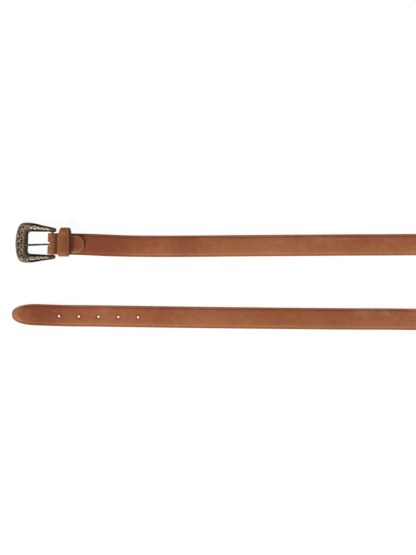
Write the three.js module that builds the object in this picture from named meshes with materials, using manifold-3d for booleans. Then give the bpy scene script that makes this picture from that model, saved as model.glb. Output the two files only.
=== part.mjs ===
// Western belt laid open on a flat surface: a leather strap folded round the bar of a cast, scroll-relief
// buckle, with a wire tongue and a loose leather keeper loop.
// Millimetres, +Z up. The belt lies as a hairpin: the buckle's run and the tip's run lie flat, grain side up,
// and the turn between them stands on its edge. Sizes are worked out about the buckle's bar, and the finished
// group is then moved so that its origin is the centre of the underside of its bounding box.

import * as THREE from 'three';
import { mergeVertices } from 'three/addons/utils/BufferGeometryUtils.js';
import Module from 'manifold-3d';

const wasm = await Module();
wasm.setup();

// Strap
const STRAP_HALF = 12.2; // half the strap's width: a 25 mm strap, worn a little narrower
const STRAP_THICK = 2.8;
const FOLD_THICK = 1.8; // the leather is skived where it folds round the bar
const TURN_START = 452; // x where the turn's curve begins
const TURN_STEPS = 24;
const STANDING_LEAN = THREE.MathUtils.degToRad(86); // how far the strap tips onto its edge in the turn
const LEAN_START = 398; // x where it starts to tip
const LEAN_LENGTH = 100; // length of strap over which it tips
const TIP_LENGTH = 30; // the tip is half a superellipse of this length, with these powers
const TIP_POWERS = { along: 2.3, across: 2.45 };
const TIP_STEPS = 9;
const FLAP_HALF = 10; // half width of the turned-over end
const FLAP_CORNER = 9.2; // radius of its corners
const FLAP_STEPS = 5;
const FLAP_DROOP = 0.06; // it falls this much for each millimetre past its last straight row
const HOLE_COUNT = 5;
const HOLE_PITCH = 22.4;
const HOLE_RADIUS = 1.25;
const HOLE_SIDES = 14;
const TIP_TO_HOLE = 53.5; // from the tip to the nearest hole
const HOLE_ASIDE = -0.8; // the holes lie to this side of the strap's middle

// Slot for the tongue, cut round the fold: its ends in the front layer and in the back layer
const SLOT_LEFT = -8;
const SLOT_Y = 0;
const SLOT_HALF = 2.1;
const SLOT_CORNER = 1.2; // radius of its corners
const SLOT_CORNER_STEPS = 4;
const SLOT_LAYERS = [
  { end: -2.5, low: -1, high: 12 },
  { end: 4, low: -1, high: 4.6 },
];

// Buckle. Its own axes start at the middle of the bar, and the window opens towards -X.
const BAR_HEIGHT = 5.6; // bar's axis above the surface
const BAR_RADIUS = 1.4;
const BAR_HALF = 14.6;
const FRAME_ASIDE = 0.25; // the frame sits a little to one side of the strap
const FRAME_YAW = THREE.MathUtils.degToRad(-2);
const FRAME_BACK = -3.2; // underside of the front bar, from the bar's axis
const FRAME_REACH = 42; // from the bar's axis to the front bar's far edge
const FRAME_TILT = -Math.asin((BAR_HEIGHT + FRAME_BACK) / FRAME_REACH); // its far edge rests on the surface

// Tongue
const TONGUE_RADIUS = 1.25; // where the wire is thickest
const EYE_WIRE = 0.8;
const EYE_RADIUS = BAR_RADIUS + 0.3 + EYE_WIRE;
const TONGUE_ROOT = new THREE.Vector3(0, -0.8, -EYE_RADIUS - 0.05);
const TONGUE_TIP = new THREE.Vector3(-31.7, -3.05, 1.3);
const NOTCH_CLEARANCE = 0.32;

// Keeper loop
const KEEPER_HALF = 6.3;
const KEEPER_THICK = 1.6;
const KEEPER_CENTRE = 12.8; // x of its front's middle
const KEEPER_SKEW = 0.27; // it sits askew: at its upper edge its back is this share of its depth further on
const KEEPER_STEPS = 3;

// The strap's side view at the buckle end, from the turned-over end to the flat run: one row for each point
// of its middle line, with the leather's thickness and half width there.
const FOLD_LINE = [
  { x: 26.5, z: 6.02, thick: 2.0, half: FLAP_HALF },
  { x: 20, z: 6.05, thick: 2.0, half: 9.8 },
  { x: 13.5, z: 5.95, thick: 2.0, half: 10.2 },
  { x: 8.6, z: 6.25, thick: 1.9, half: 10.9 },
  { x: 5, z: 7.35, thick: FOLD_THICK, half: 11.5 },
  { x: 2, z: 9.7, thick: FOLD_THICK, half: 12.0 },
  { x: -0.6, z: 10.25, thick: FOLD_THICK, half: 12.1 },
  { x: -2.8, z: 9.5, thick: FOLD_THICK, half: 12.1 },
  { x: -4.1, z: 7.6, thick: FOLD_THICK, half: 12.1 },
  { x: -4.2, z: 5.4, thick: FOLD_THICK, half: 12.1 },
  { x: -3.3, z: 3.7, thick: FOLD_THICK, half: 12.1 },
  { x: -1.5, z: 3.0, thick: FOLD_THICK, half: 12.1 },
  { x: 2, z: 3.0, thick: FOLD_THICK, half: 12.1 },
  { x: 8, z: 3.15, thick: 2.1, half: 12.1 },
  { x: 15, z: 3.35, thick: 2.5, half: 12.1 },
  { x: 23, z: 3.45, thick: 2.7, half: 12.15 },
  { x: 33, z: 2.95, thick: STRAP_THICK, half: 12.25 },
  { x: 46, z: 2.1, thick: STRAP_THICK, half: 12.35 },
  { x: 60, z: 1.5, thick: STRAP_THICK, half: 12.4 },
];
const FOLD_STEPS = 2;
const CREASE_START = 12; // the first of those rows that has creased borders

// Plan of the two runs: how far the strap's middle line drifts aside along each
const UPPER_RUN = [
  { x: -10, y: 0 },
  { x: 8, y: -0.2 },
  { x: 36, y: -0.8 },
  { x: 60, y: -1.8 },
  { x: 85, y: -2.65 },
  { x: 121, y: -3.0 },
  { x: 160, y: -2.85 },
  { x: 200, y: -2.5 },
  { x: 248, y: -2.1 },
  { x: 290, y: -1.8 },
  { x: 340, y: -1.45 },
  { x: 380, y: -1.3 },
  { x: 416, y: -1.1 },
  { x: TURN_START, y: -1.0 },
];
const LOWER_RUN = [
  { x: TURN_START, y: -86.0 },
  { x: 412, y: -85.8 },
  { x: 376, y: -85.4 },
  { x: 340, y: -85.3 },
  { x: 287, y: -84.9 },
  { x: 230, y: -84.3 },
  { x: 167, y: -83.6 },
  { x: 130, y: -83.1 },
  { x: 83, y: -82.4 },
  { x: 49, y: -81.9 },
  { x: 12.5, y: -81.5 },
  { x: -19.5, y: -80.5 },
  { x: -46.0, y: -80.1 },
];

// Half of the frame, from an arm's end to the middle of the front bar: its outer and inner edge in plan, and
// the heights of its crown and its back from the bar's axis
const FRAME_SECTIONS = [
  { outX: 4.0, outY: 15.9, inX: 3.9, inY: 13.6, crown: 1.5, back: -1.4 },
  { outX: 3.3, outY: 17.1, inX: 3.0, inY: 13.1, crown: 2.1, back: -2.0 },
  { outX: 1.0, outY: 17.8, inX: 0.8, inY: 13.0, crown: 2.5, back: -2.4 },
  { outX: -5.0, outY: 18.95, inX: -5.0, inY: 13.0, crown: 2.8, back: -2.5 },
  { outX: -12.0, outY: 20.2, inX: -12.0, inY: 12.8, crown: 3.1, back: -2.7 },
  { outX: -19.0, outY: 21.75, inX: -18.3, inY: 12.65, crown: 3.3, back: -2.9 },
  { outX: -25.0, outY: 22.5, inX: -23.3, inY: 12.55, crown: 3.4, back: -3.1 },
  { outX: -30.2, outY: 22.7, inX: -25.8, inY: 12.2, crown: 3.4, back: FRAME_BACK },
  { outX: -34.8, outY: 21.9, inX: -27.0, inY: 11.3, crown: 3.4, back: FRAME_BACK },
  { outX: -37.8, outY: 19.5, inX: -27.5, inY: 9.9, crown: 3.4, back: FRAME_BACK },
  { outX: -39.7, outY: 15.7, inX: -27.6, inY: 8.2, crown: 3.4, back: FRAME_BACK },
  { outX: -40.9, outY: 11.1, inX: -27.6, inY: 6.1, crown: 3.4, back: FRAME_BACK },
  { outX: -41.7, outY: 5.6, inX: -27.6, inY: 3.2, crown: 3.4, back: FRAME_BACK },
  { outX: -FRAME_REACH, outY: 0, inX: -27.6, inY: 0, crown: 3.4, back: FRAME_BACK },
];
const FRAME_STEPS = 2;

// The frame's domed section: across is 0 at the outer edge and 1 at the inner one, rise is 0 at the back and
// 1 at the crown. The first rows are its front, and the last four its hollow back.
const DOME = [
  { across: 0, rise: 0.3 },
  { across: 0.06, rise: 0.62 },
  { across: 0.18, rise: 0.86 },
  { across: 0.36, rise: 1 },
  { across: 0.55, rise: 0.98 },
  { across: 0.72, rise: 0.84 },
  { across: 0.82, rise: 0.6 },
  { across: 1, rise: 0.24 },
];
const HOLLOW_BACK = [
  { across: 1, rise: 0 },
  { across: 0.86, rise: 0 },
  { across: 0.78, rise: 0.14 },
  { across: 0.24, rise: 0.14 },
  { across: 0.14, rise: 0 },
  { across: 0, rise: 0 },
];

// Raised scrollwork, placed in plan from the bar's middle. A scroll winds inwards from its radius, to the
// left or to the right, and leaves a pit at its middle. A leaf is widest halfway.
const SCROLLS = [
  { x: -32.9, y: 17.3, radius: 2.9, start: 250, turns: 1.4, hand: 1 },
  { x: -34.7, y: 11.4, radius: 3.0, start: 110, turns: 1.5, hand: -1 },
  { x: -34.3, y: 5.4, radius: 2.5, start: 280, turns: 1.4, hand: 1 },
  { x: -34.6, y: -4.6, radius: 2.5, start: 80, turns: 1.4, hand: -1 },
  { x: -34.5, y: -10.6, radius: 3.0, start: 250, turns: 1.5, hand: 1 },
  { x: -31.2, y: -16.6, radius: 2.8, start: 110, turns: 1.4, hand: -1 },
];
const LEAVES = [
  { x: -39.1, y: 2.2, heading: 135, length: 3.4, width: 0.8 },
  { x: -36.5, y: 2.2, heading: 45, length: 3.4, width: 0.8 },
  { x: -39.1, y: -0.4, heading: 45, length: 3.4, width: 0.8 },
  { x: -36.5, y: -0.4, heading: 135, length: 3.4, width: 0.8 },
  { x: -33.4, y: 0.6, heading: 0, length: 3.2, width: 0.7 },
  { x: -38.9, y: 7.4, heading: 80, length: 4.6, width: 0.75 },
  { x: -38.7, y: -6.4, heading: 98, length: 4.4, width: 0.75 },
  { x: -37.5, y: 14.6, heading: 66, length: 4.2, width: 0.75 },
  { x: -37.2, y: -13.8, heading: 112, length: 4.2, width: 0.75 },
  { x: -34.0, y: -19.0, heading: 142, length: 4.4, width: 0.8 },
  { x: -28.2, y: 18.9, heading: 20, length: 4.4, width: 0.85 },
  { x: -27.2, y: -19.2, heading: -50, length: 4.2, width: 0.85 },
  { x: -24.6, y: 16.9, heading: 150, length: 4.6, width: 1.0 },
  { x: -24.3, y: -17.0, heading: 205, length: 4.6, width: 1.0 },
  { x: -20.4, y: 18.8, heading: 10, length: 4.4, width: 0.85 },
  { x: -20.2, y: -18.6, heading: 5, length: 4.4, width: 0.85 },
  { x: -19.8, y: 15.9, heading: 190, length: 4.4, width: 0.85 },
  { x: -15.8, y: 16.8, heading: 155, length: 4.6, width: 0.95 },
  { x: -16.2, y: -16.4, heading: 200, length: 4.8, width: 1.0 },
  { x: -11.2, y: 16.3, heading: 185, length: 4.4, width: 0.85 },
  { x: -11.4, y: -16.2, heading: 175, length: 4.4, width: 0.85 },
  { x: -5.2, y: 16.0, heading: 175, length: 7.0, width: 0.7 },
  { x: -5.0, y: -16.0, heading: 185, length: 7.0, width: 0.7 },
];
const SCROLL_POINTS = 13;
const SCROLL_WIRE = 0.55;
const RELIEF_SIDES = 6;
const LEAF_POINTS = 5;
const SUNK = 0.1; // how far a ridge's middle lies under the dome

// The keeper's loop in its own plane, the middle of the leather: how much narrower it is there than at its
// widest, and how far it is pushed towards the strap's long end
const KEEPER_LOOP = [
  { y: -12.7, z: 1.12, narrow: 0, aside: 0 },
  { y: -6, z: 1.04, narrow: 0, aside: 0 },
  { y: 5, z: 1.04, narrow: 0, aside: 0 },
  { y: 12.5, z: 1.08, narrow: 0.4, aside: 0 },
  { y: 16.4, z: 3.2, narrow: 1.1, aside: 0 },
  { y: 17.6, z: 7.2, narrow: 1.4, aside: 0.4 },
  { y: 16.3, z: 11.2, narrow: 1.2, aside: 0.6 },
  { y: 12.4, z: 13.1, narrow: 0.6, aside: 0.3 },
  { y: 5, z: 13.4, narrow: 0, aside: 0 },
  { y: -4, z: 13.4, narrow: 0, aside: 0 },
  { y: -10.4, z: 13.1, narrow: 0, aside: 0 },
  { y: -13.0, z: 11.2, narrow: 0.1, aside: 0 },
  { y: -13.7, z: 7.4, narrow: 0.2, aside: 0 },
  { y: -13.8, z: 3.0, narrow: 0.1, aside: 0 },
];

const LEATHER = new THREE.Color().setRGB(0.6, 0.36, 0.245, THREE.SRGBColorSpace);
const LEATHER_KEEPER = new THREE.Color().setRGB(0.54, 0.33, 0.22, THREE.SRGBColorSpace);
const OLD_BRASS = new THREE.Color().setRGB(0.42, 0.36, 0.27, THREE.SRGBColorSpace);
const DARK_WIRE = new THREE.Color().setRGB(0.36, 0.32, 0.27, THREE.SRGBColorSpace);

// Solids

function toSolid(coordinates, faces) {
  const vertProperties = Float32Array.from(coordinates);
  const triVerts = Uint32Array.from(faces);
  return new wasm.Manifold(new wasm.Mesh({ numProp: 3, vertProperties, triVerts }));
}

function volumeOf(points, faces) {
  let total = 0;
  for (let i = 0; i < faces.length; i += 3) {
    const [a, b, c] = [points[faces[i]], points[faces[i + 1]], points[faces[i + 2]]];
    total += a.dot(b.clone().cross(c)) / 6;
  }
  return total;
}

// Joins equal rings of points into a closed skin. A skin that isn't a loop gets a cap at each end.
function loft(rings, isLoop = false) {
  const size = rings[0].length;
  const points = rings.flat();
  const faces = [];
  const spans = isLoop ? rings.length : rings.length - 1;
  for (let i = 0; i < spans; i++) {
    const next = ((i + 1) % rings.length) * size;
    for (let k = 0; k < size; k++) {
      const l = (k + 1) % size;
      faces.push(i * size + k, i * size + l, next + l, i * size + k, next + l, next + k);
    }
  }
  for (const start of isLoop ? [] : [0, (rings.length - 1) * size]) {
    const middle = points.length;
    const ring = points.slice(start, start + size);
    points.push(ring.reduce((sum, p) => sum.add(p), new THREE.Vector3()).divideScalar(size));
    for (let k = 0; k < size; k++) {
      const edge = [start + k, start + ((k + 1) % size)];
      faces.push(middle, ...(start === 0 ? edge.reverse() : edge));
    }
  }
  const coordinates = points.flatMap((p) => p.toArray());
  return toSolid(coordinates, volumeOf(points, faces) < 0 ? faces.reverse() : faces);
}

function solidOf(geometry) {
  geometry.deleteAttribute('normal');
  geometry.deleteAttribute('uv');
  const merged = mergeVertices(geometry);
  return toSolid(merged.attributes.position.array, merged.index.array);
}

// A round bar along points, with a radius at each
function rod(points, radii, sides) {
  const rings = points.map((p, i) => {
    const ahead = points[Math.min(i + 1, points.length - 1)];
    const behind = points[Math.max(i - 1, 0)];
    const along = ahead.clone().sub(behind).normalize();
    const side = new THREE.Vector3(0, 0, 1).cross(along).normalize();
    const up = along.clone().cross(side);
    return Array.from({ length: sides }, (_, k) => {
      const angle = (2 * Math.PI * k) / sides;
      return p
        .clone()
        .addScaledVector(side, radii[i] * Math.cos(angle))
        .addScaledVector(up, radii[i] * Math.sin(angle));
    });
  });
  return loft(rings);
}

function toMesh(name, solid, color, roughness, metalness) {
  const { vertProperties, triVerts } = solid.getMesh();
  const geometry = new THREE.BufferGeometry();
  geometry.setAttribute('position', new THREE.BufferAttribute(vertProperties, 3));
  geometry.setIndex(new THREE.BufferAttribute(triVerts, 1));
  geometry.computeVertexNormals();
  const mesh = new THREE.Mesh(geometry, new THREE.MeshStandardMaterial({ color, roughness, metalness }));
  mesh.name = name;
  return mesh;
}

// Value at x of a table whose rows are in order of x, either way
function readTable(rows, x) {
  const sign = Math.sign(rows.at(-1).x - rows[0].x);
  const i = Math.max(1, rows.findIndex((r) => sign * (r.x - x) >= 0));
  const [a, b] = [rows[i - 1], rows[i]];
  return THREE.MathUtils.lerp(a.y, b.y, (x - a.x) / (b.x - a.x));
}

// Strap

// The turn, as a curve that bends most at its middle, scaled to join the two runs
function turnPoints() {
  const [from, to] = [UPPER_RUN.at(-1), LOWER_RUN[0]];
  const unit = [new THREE.Vector2(0, 0)];
  for (let i = 0; i < TURN_STEPS; i++) {
    const share = (i + 0.5) / TURN_STEPS;
    const heading = Math.PI * share - Math.sin(2 * Math.PI * share) / 2;
    unit.push(unit.at(-1).clone().add(new THREE.Vector2(Math.cos(heading), -Math.sin(heading))));
  }
  const scale = (to.y - from.y) / unit.at(-1).y;
  return unit.slice(1, -1).map((p) => ({ x: from.x + p.x * scale, y: from.y + p.y * scale }));
}

// The strap's middle line from the turned-over end to the tip, a row for each section
function strapRows() {
  const rows = [];
  const flapEnd = FOLD_LINE[0].x + FLAP_CORNER;
  for (let k = 0; k < FLAP_STEPS; k++) {
    const angle = (Math.PI / 2) * (k / FLAP_STEPS);
    const half = FLAP_HALF - FLAP_CORNER + FLAP_CORNER * Math.sin(angle);
    const x = flapEnd - FLAP_CORNER * (1 - Math.cos(angle));
    const z = FOLD_LINE[0].z - FLAP_DROOP * (x - FOLD_LINE[0].x);
    rows.push({ x, y: readTable(UPPER_RUN, x), z, thick: FOLD_LINE[0].thick, half, crease: 0, folded: true });
  }
  FOLD_LINE.forEach((row, i) => {
    const crease = i < CREASE_START ? 0 : Math.min(1, (i - CREASE_START) / 4);
    rows.push({ ...row, y: readTable(UPPER_RUN, row.x), crease, folded: true, steps: FOLD_STEPS });
  });
  const flat = { thick: STRAP_THICK, half: STRAP_HALF, crease: 1 };
  const pastFold = UPPER_RUN.filter((r) => r.x > FOLD_LINE.at(-1).x);
  const beforeTip = LOWER_RUN.filter((r) => r.x > LOWER_RUN.at(-1).x + TIP_LENGTH);
  rows.push(...[...pastFold, ...turnPoints(), ...beforeTip].map((r) => ({ ...flat, ...r })));
  for (let k = 0; k <= TIP_STEPS; k++) {
    const share = Math.cos((Math.PI / 2) * (1 - k / (TIP_STEPS + 0.6)));
    const x = LOWER_RUN.at(-1).x + TIP_LENGTH * (1 - share);
    const half = STRAP_HALF * (1 - share ** TIP_POWERS.along) ** (1 / TIP_POWERS.across);
    rows.push({ ...flat, x, y: readTable(LOWER_RUN, x), half });
  }
  tipOntoEdge(rows);
  return rows;
}

// Gives each flat row its lean, which grows and fades along the strap, and the height that goes with it
function tipOntoEdge(rows) {
  const flat = rows.filter((r) => !r.folded);
  let length = 0;
  flat.forEach((row, i) => {
    const last = flat[Math.max(i - 1, 0)];
    length += Math.hypot(row.x - last.x, row.y - last.y);
    row.length = length;
  });
  const lengthAtLeanStart = (run) => {
    const i = run.findIndex((r) => r.x > LEAN_START);
    const [a, b] = [run[i - 1], run[i]];
    return THREE.MathUtils.mapLinear(LEAN_START, a.x, b.x, a.length, b.length);
  };
  const rise = lengthAtLeanStart(flat);
  const fall = lengthAtLeanStart(flat.toReversed());
  for (const row of flat) {
    const up = THREE.MathUtils.smoothstep(row.length, rise, rise + LEAN_LENGTH);
    const down = THREE.MathUtils.smoothstep(row.length, fall - LEAN_LENGTH, fall);
    row.lean = STANDING_LEAN * (up - down);
    row.z = STRAP_HALF * Math.sin(row.lean) + (STRAP_THICK / 2) * Math.cos(row.lean);
  }
}

// The strap's section, from the flesh side round to the grain side and back: bevelled edges, and on the grain
// side a border line pressed in beside a slightly raised middle
function strapProfile({ half, thick, crease }) {
  const k = Math.min(1, half / 6);
  const top = thick / 2;
  const right = [
    [half - 0.7 * k, -top],
    [half, -top + 0.5],
    [half, top - 0.5 - 0.3 * crease],
    [half - 0.6 * k, top - 0.35 * crease],
    [half - 1.6 * k, top - 0.4 * crease],
    [half - 2.2 * k, top - 0.75 * crease],
    [half - 3.0 * k, top - 0.3 * crease],
    [half - 5.5 * k, top],
  ];
  return [...right, ...right.map(([v, w]) => [-v, w]).reverse()];
}

function strapSections(rows) {
  const alongBar = new THREE.Vector3(-Math.sin(FRAME_YAW), Math.cos(FRAME_YAW), 0);
  const line = new THREE.CatmullRomCurve3(
    rows.map((r) => new THREE.Vector3(r.x, r.y, r.z)),
    false,
    'centripetal',
  );
  const spans = rows.length - 1;
  const sections = [];
  const addSection = (i, part) => {
    const [a, b] = [rows[i], rows[Math.min(i + 1, spans)]];
    const at = (i + part) / spans;
    const along = line.getTangent(at);
    const mixed = {};
    for (const key of ['thick', 'half', 'crease']) mixed[key] = THREE.MathUtils.lerp(a[key], b[key], part);
    const lean = THREE.MathUtils.lerp(a.lean ?? 0, b.lean ?? 0, part);
    const flatAlong = along.clone().setZ(0).normalize();
    const side = a.folded ? alongBar.clone() : new THREE.Vector3(0, 0, 1).cross(flatAlong);
    side.addScaledVector(along, -side.dot(along)).normalize().applyAxisAngle(along, -lean);
    const up = along.clone().cross(side);
    const middle = line.getPoint(at);
    sections.push(
      strapProfile(mixed).map(([v, w]) => middle.clone().addScaledVector(side, v).addScaledVector(up, w)),
    );
  };
  for (let i = 0; i < spans; i++) {
    const steps = rows[i].steps ?? 1;
    for (let k = 0; k < steps; k++) addSection(i, k / steps);
  }
  addSection(spans, 0);
  return sections;
}

function makeStrap() {
  let strap = loft(strapSections(strapRows()));
  for (let i = 0; i < HOLE_COUNT; i++) {
    const x = LOWER_RUN.at(-1).x + TIP_TO_HOLE + i * HOLE_PITCH;
    const drill = new THREE.CylinderGeometry(HOLE_RADIUS, HOLE_RADIUS, 4 * STRAP_THICK, HOLE_SIDES);
    drill.rotateX(Math.PI / 2).translate(x, readTable(LOWER_RUN, x) + HOLE_ASIDE, STRAP_THICK / 2);
    strap = strap.subtract(solidOf(drill));
  }
  for (const { end, low, high } of SLOT_LAYERS) strap = strap.subtract(slotCutter(end, low, high));
  return strap;
}

// A straight cut whose end has rounded corners
function slotCutter(end, low, high) {
  const corner = [];
  for (let k = 0; k <= SLOT_CORNER_STEPS; k++) {
    const angle = (Math.PI / 2) * (k / SLOT_CORNER_STEPS);
    const [x, y] = [end - SLOT_CORNER * (1 - Math.sin(angle)), SLOT_HALF - SLOT_CORNER * (1 - Math.cos(angle))];
    corner.push([x, y]);
  }
  const side = [[SLOT_LEFT, SLOT_HALF], ...corner];
  const outline = [...side, ...side.map(([x, y]) => [x, -y]).reverse()];
  return loft([low, high].map((z) => outline.map(([x, y]) => new THREE.Vector3(x, SLOT_Y + y, z))));
}

// Buckle frame

const FRAME_ROWS = [
  ...FRAME_SECTIONS,
  ...FRAME_SECTIONS.slice(0, -1)
    .reverse()
    .map((r) => ({ ...r, outY: -r.outY, inY: -r.inY })),
];
const outerEdge = new THREE.CatmullRomCurve3(
  FRAME_ROWS.map((r) => new THREE.Vector3(r.outX, r.outY, r.back)),
  false,
  'centripetal',
);
const innerEdge = new THREE.CatmullRomCurve3(
  FRAME_ROWS.map((r) => new THREE.Vector3(r.inX, r.inY, r.crown)),
  false,
  'centripetal',
);

// A point of the frame: along counts rows, across goes from the outer edge to the inner one, and rise from
// the back to the crown
function framePoint(along, across, rise) {
  const at = along / (FRAME_ROWS.length - 1);
  const [outer, inner] = [outerEdge.getPoint(at), innerEdge.getPoint(at)];
  return new THREE.Vector3(
    THREE.MathUtils.lerp(outer.x, inner.x, across),
    THREE.MathUtils.lerp(outer.y, inner.y, across),
    THREE.MathUtils.lerp(outer.z, inner.z, rise),
  );
}

const straightDown = new THREE.Raycaster();

// The points of a ridge, dropped onto the frame
function onFrame(frameMesh, points) {
  return points.map(([x, y]) => {
    straightDown.set(new THREE.Vector3(x, y, FRAME_REACH), new THREE.Vector3(0, 0, -1));
    const [hit] = straightDown.intersectObject(frameMesh);
    return new THREE.Vector3(x, y, (hit ? hit.point.z : 0) - SUNK);
  });
}

function makeScroll(frameMesh, { x, y, radius, start, turns, hand }) {
  const points = [];
  const radii = [];
  for (let i = 0; i <= SCROLL_POINTS; i++) {
    const share = i / SCROLL_POINTS;
    const angle = THREE.MathUtils.degToRad(start + hand * 360 * turns * share);
    const reach = radius * (1 - 0.62 * share);
    points.push([x + reach * Math.cos(angle), y + reach * Math.sin(angle)]);
    radii.push(SCROLL_WIRE * (0.75 + 0.4 * share));
  }
  return rod(onFrame(frameMesh, points), radii, RELIEF_SIDES);
}

function makeLeaf(frameMesh, { x, y, heading, length, width }) {
  const points = [];
  const radii = [];
  const angle = THREE.MathUtils.degToRad(heading);
  for (let i = 0; i < LEAF_POINTS; i++) {
    const share = i / (LEAF_POINTS - 1) - 0.5;
    points.push([x + length * share * Math.cos(angle), y + length * share * Math.sin(angle)]);
    radii.push(width * (0.25 + 0.75 * Math.cos(Math.PI * share)));
  }
  return rod(onFrame(frameMesh, points), radii, RELIEF_SIDES);
}

function makeFrame() {
  const rings = [];
  const last = FRAME_ROWS.length - 1;
  for (let i = 0; i <= last * FRAME_STEPS; i++) {
    const along = i / FRAME_STEPS;
    const isEnd = i < FRAME_STEPS || i > (last - 1) * FRAME_STEPS;
    const back = HOLLOW_BACK.map((d) => ({ ...d, rise: isEnd ? 0 : d.rise }));
    rings.push([...DOME, ...back].map((d) => framePoint(along, d.across, d.rise)));
  }
  let frame = loft(rings);
  frame = frame.add(solidOf(new THREE.CylinderGeometry(BAR_RADIUS, BAR_RADIUS, 2 * BAR_HALF, 16)));
  const plainFrame = toMesh('plain_frame', frame, OLD_BRASS, 0.42, 1);
  for (const scroll of SCROLLS) frame = frame.add(makeScroll(plainFrame, scroll));
  for (const leaf of LEAVES) frame = frame.add(makeLeaf(plainFrame, leaf));
  const ahead = TONGUE_TIP.clone().sub(TONGUE_ROOT).normalize();
  const notchEnd = TONGUE_TIP.clone().addScaledVector(ahead, NOTCH_CLEARANCE);
  const notch = rod([TONGUE_ROOT, notchEnd], Array(2).fill(TONGUE_RADIUS + NOTCH_CLEARANCE), 12);
  const clearOfBar = new THREE.BoxGeometry(12, 12, 12).translate(0, TONGUE_ROOT.y, 0);
  return frame.subtract(notch.subtract(solidOf(clearOfBar)));
}

// Tongue

function makeTongue() {
  const eye = new THREE.TorusGeometry(EYE_RADIUS, EYE_WIRE, 8, 20).rotateX(Math.PI / 2);
  eye.translate(0, TONGUE_ROOT.y, 0);
  const stops = [0, 0.2, 0.5, 0.75, 0.94, 0.98, 1];
  const thinning = [0.62, 0.82, 0.93, 1, 0.9, 0.7, 0.35];
  const points = stops.map((s) => TONGUE_ROOT.clone().lerp(TONGUE_TIP, s));
  return rod(points, thinning.map((r) => r * TONGUE_RADIUS), 10).add(solidOf(eye));
}

// Keeper

function makeKeeper() {
  const loop = new THREE.CatmullRomCurve3(
    KEEPER_LOOP.map((r) => new THREE.Vector3(0, r.y, r.z)),
    true,
    'centripetal',
  );
  const front = Math.max(...KEEPER_LOOP.map((r) => r.z));
  const ys = KEEPER_LOOP.map((r) => r.y);
  const top = KEEPER_THICK / 2;
  const rings = [];
  for (let i = 0; i < KEEPER_LOOP.length * KEEPER_STEPS; i++) {
    const row = i / KEEPER_STEPS;
    const [a, b] = [KEEPER_LOOP[Math.floor(row)], KEEPER_LOOP[(Math.floor(row) + 1) % KEEPER_LOOP.length]];
    const half = KEEPER_HALF - THREE.MathUtils.lerp(a.narrow, b.narrow, row % 1);
    const aside = THREE.MathUtils.lerp(a.aside, b.aside, row % 1);
    const right = [
      [half - 0.4, -top],
      [half, -top + 0.4],
      [half, top - 0.5],
      [half - 0.5, top],
      [half - 1.7, top],
      [half - 2.1, top - 0.35],
      [half - 2.5, top],
    ];
    const at = row / KEEPER_LOOP.length;
    const along = loop.getTangent(at);
    const outward = new THREE.Vector3(0, along.z, -along.y);
    const place = loop.getPoint(at);
    rings.push(
      [...right, ...right.map(([v, w]) => [-v, w]).reverse()].map(([v, w]) => {
        const p = place.clone().addScaledVector(outward, w);
        const upper = THREE.MathUtils.mapLinear(p.y, Math.min(...ys), Math.max(...ys), 0, 1);
        p.x = KEEPER_CENTRE + aside + v + KEEPER_SKEW * (front - p.z) * upper;
        return p;
      }),
    );
  }
  return loft(rings, true);
}

// The belt

const buckle = new THREE.Group();
buckle.add(toMesh('buckle_frame', makeFrame(), OLD_BRASS, 0.42, 1));
buckle.add(toMesh('tongue', makeTongue(), DARK_WIRE, 0.38, 1));
buckle.position.set(0, FRAME_ASIDE, BAR_HEIGHT);
buckle.rotation.set(0, FRAME_TILT, FRAME_YAW, 'ZYX');

const belt = new THREE.Group();
belt.add(toMesh('strap', makeStrap(), LEATHER, 0.62, 0));
belt.add(toMesh('keeper', makeKeeper(), LEATHER_KEEPER, 0.66, 0));
belt.add(buckle);

const box = new THREE.Box3().setFromObject(belt, true);
const centre = box.getCenter(new THREE.Vector3());
belt.position.set(-centre.x, -centre.y, -box.min.z);

export default belt;
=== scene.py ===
import math
from functools import partialmethod

import bpy
import numpy as np
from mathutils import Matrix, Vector, noise


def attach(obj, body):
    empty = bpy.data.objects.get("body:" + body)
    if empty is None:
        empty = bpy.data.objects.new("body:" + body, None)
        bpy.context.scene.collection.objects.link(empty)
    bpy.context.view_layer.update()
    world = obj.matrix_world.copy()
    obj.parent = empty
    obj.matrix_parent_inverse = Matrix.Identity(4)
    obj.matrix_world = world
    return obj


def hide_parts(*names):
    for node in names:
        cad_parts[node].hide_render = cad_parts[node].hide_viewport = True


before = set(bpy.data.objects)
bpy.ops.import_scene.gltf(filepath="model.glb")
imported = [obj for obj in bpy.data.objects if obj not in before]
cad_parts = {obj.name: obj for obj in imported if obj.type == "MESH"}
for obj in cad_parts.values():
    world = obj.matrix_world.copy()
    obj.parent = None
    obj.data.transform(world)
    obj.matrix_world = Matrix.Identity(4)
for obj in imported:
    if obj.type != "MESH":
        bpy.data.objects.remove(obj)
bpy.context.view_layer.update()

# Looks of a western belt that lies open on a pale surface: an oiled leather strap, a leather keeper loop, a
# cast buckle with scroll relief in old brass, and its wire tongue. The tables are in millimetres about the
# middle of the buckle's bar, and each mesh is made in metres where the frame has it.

MM = 0.001
BAR_PLACE = np.array([-247.839, 37.011, 0.013])


def table(columns, *rows):
    """Rows of numbers with named columns."""
    return [dict(zip(columns.split(), row)) for row in rows]


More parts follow.
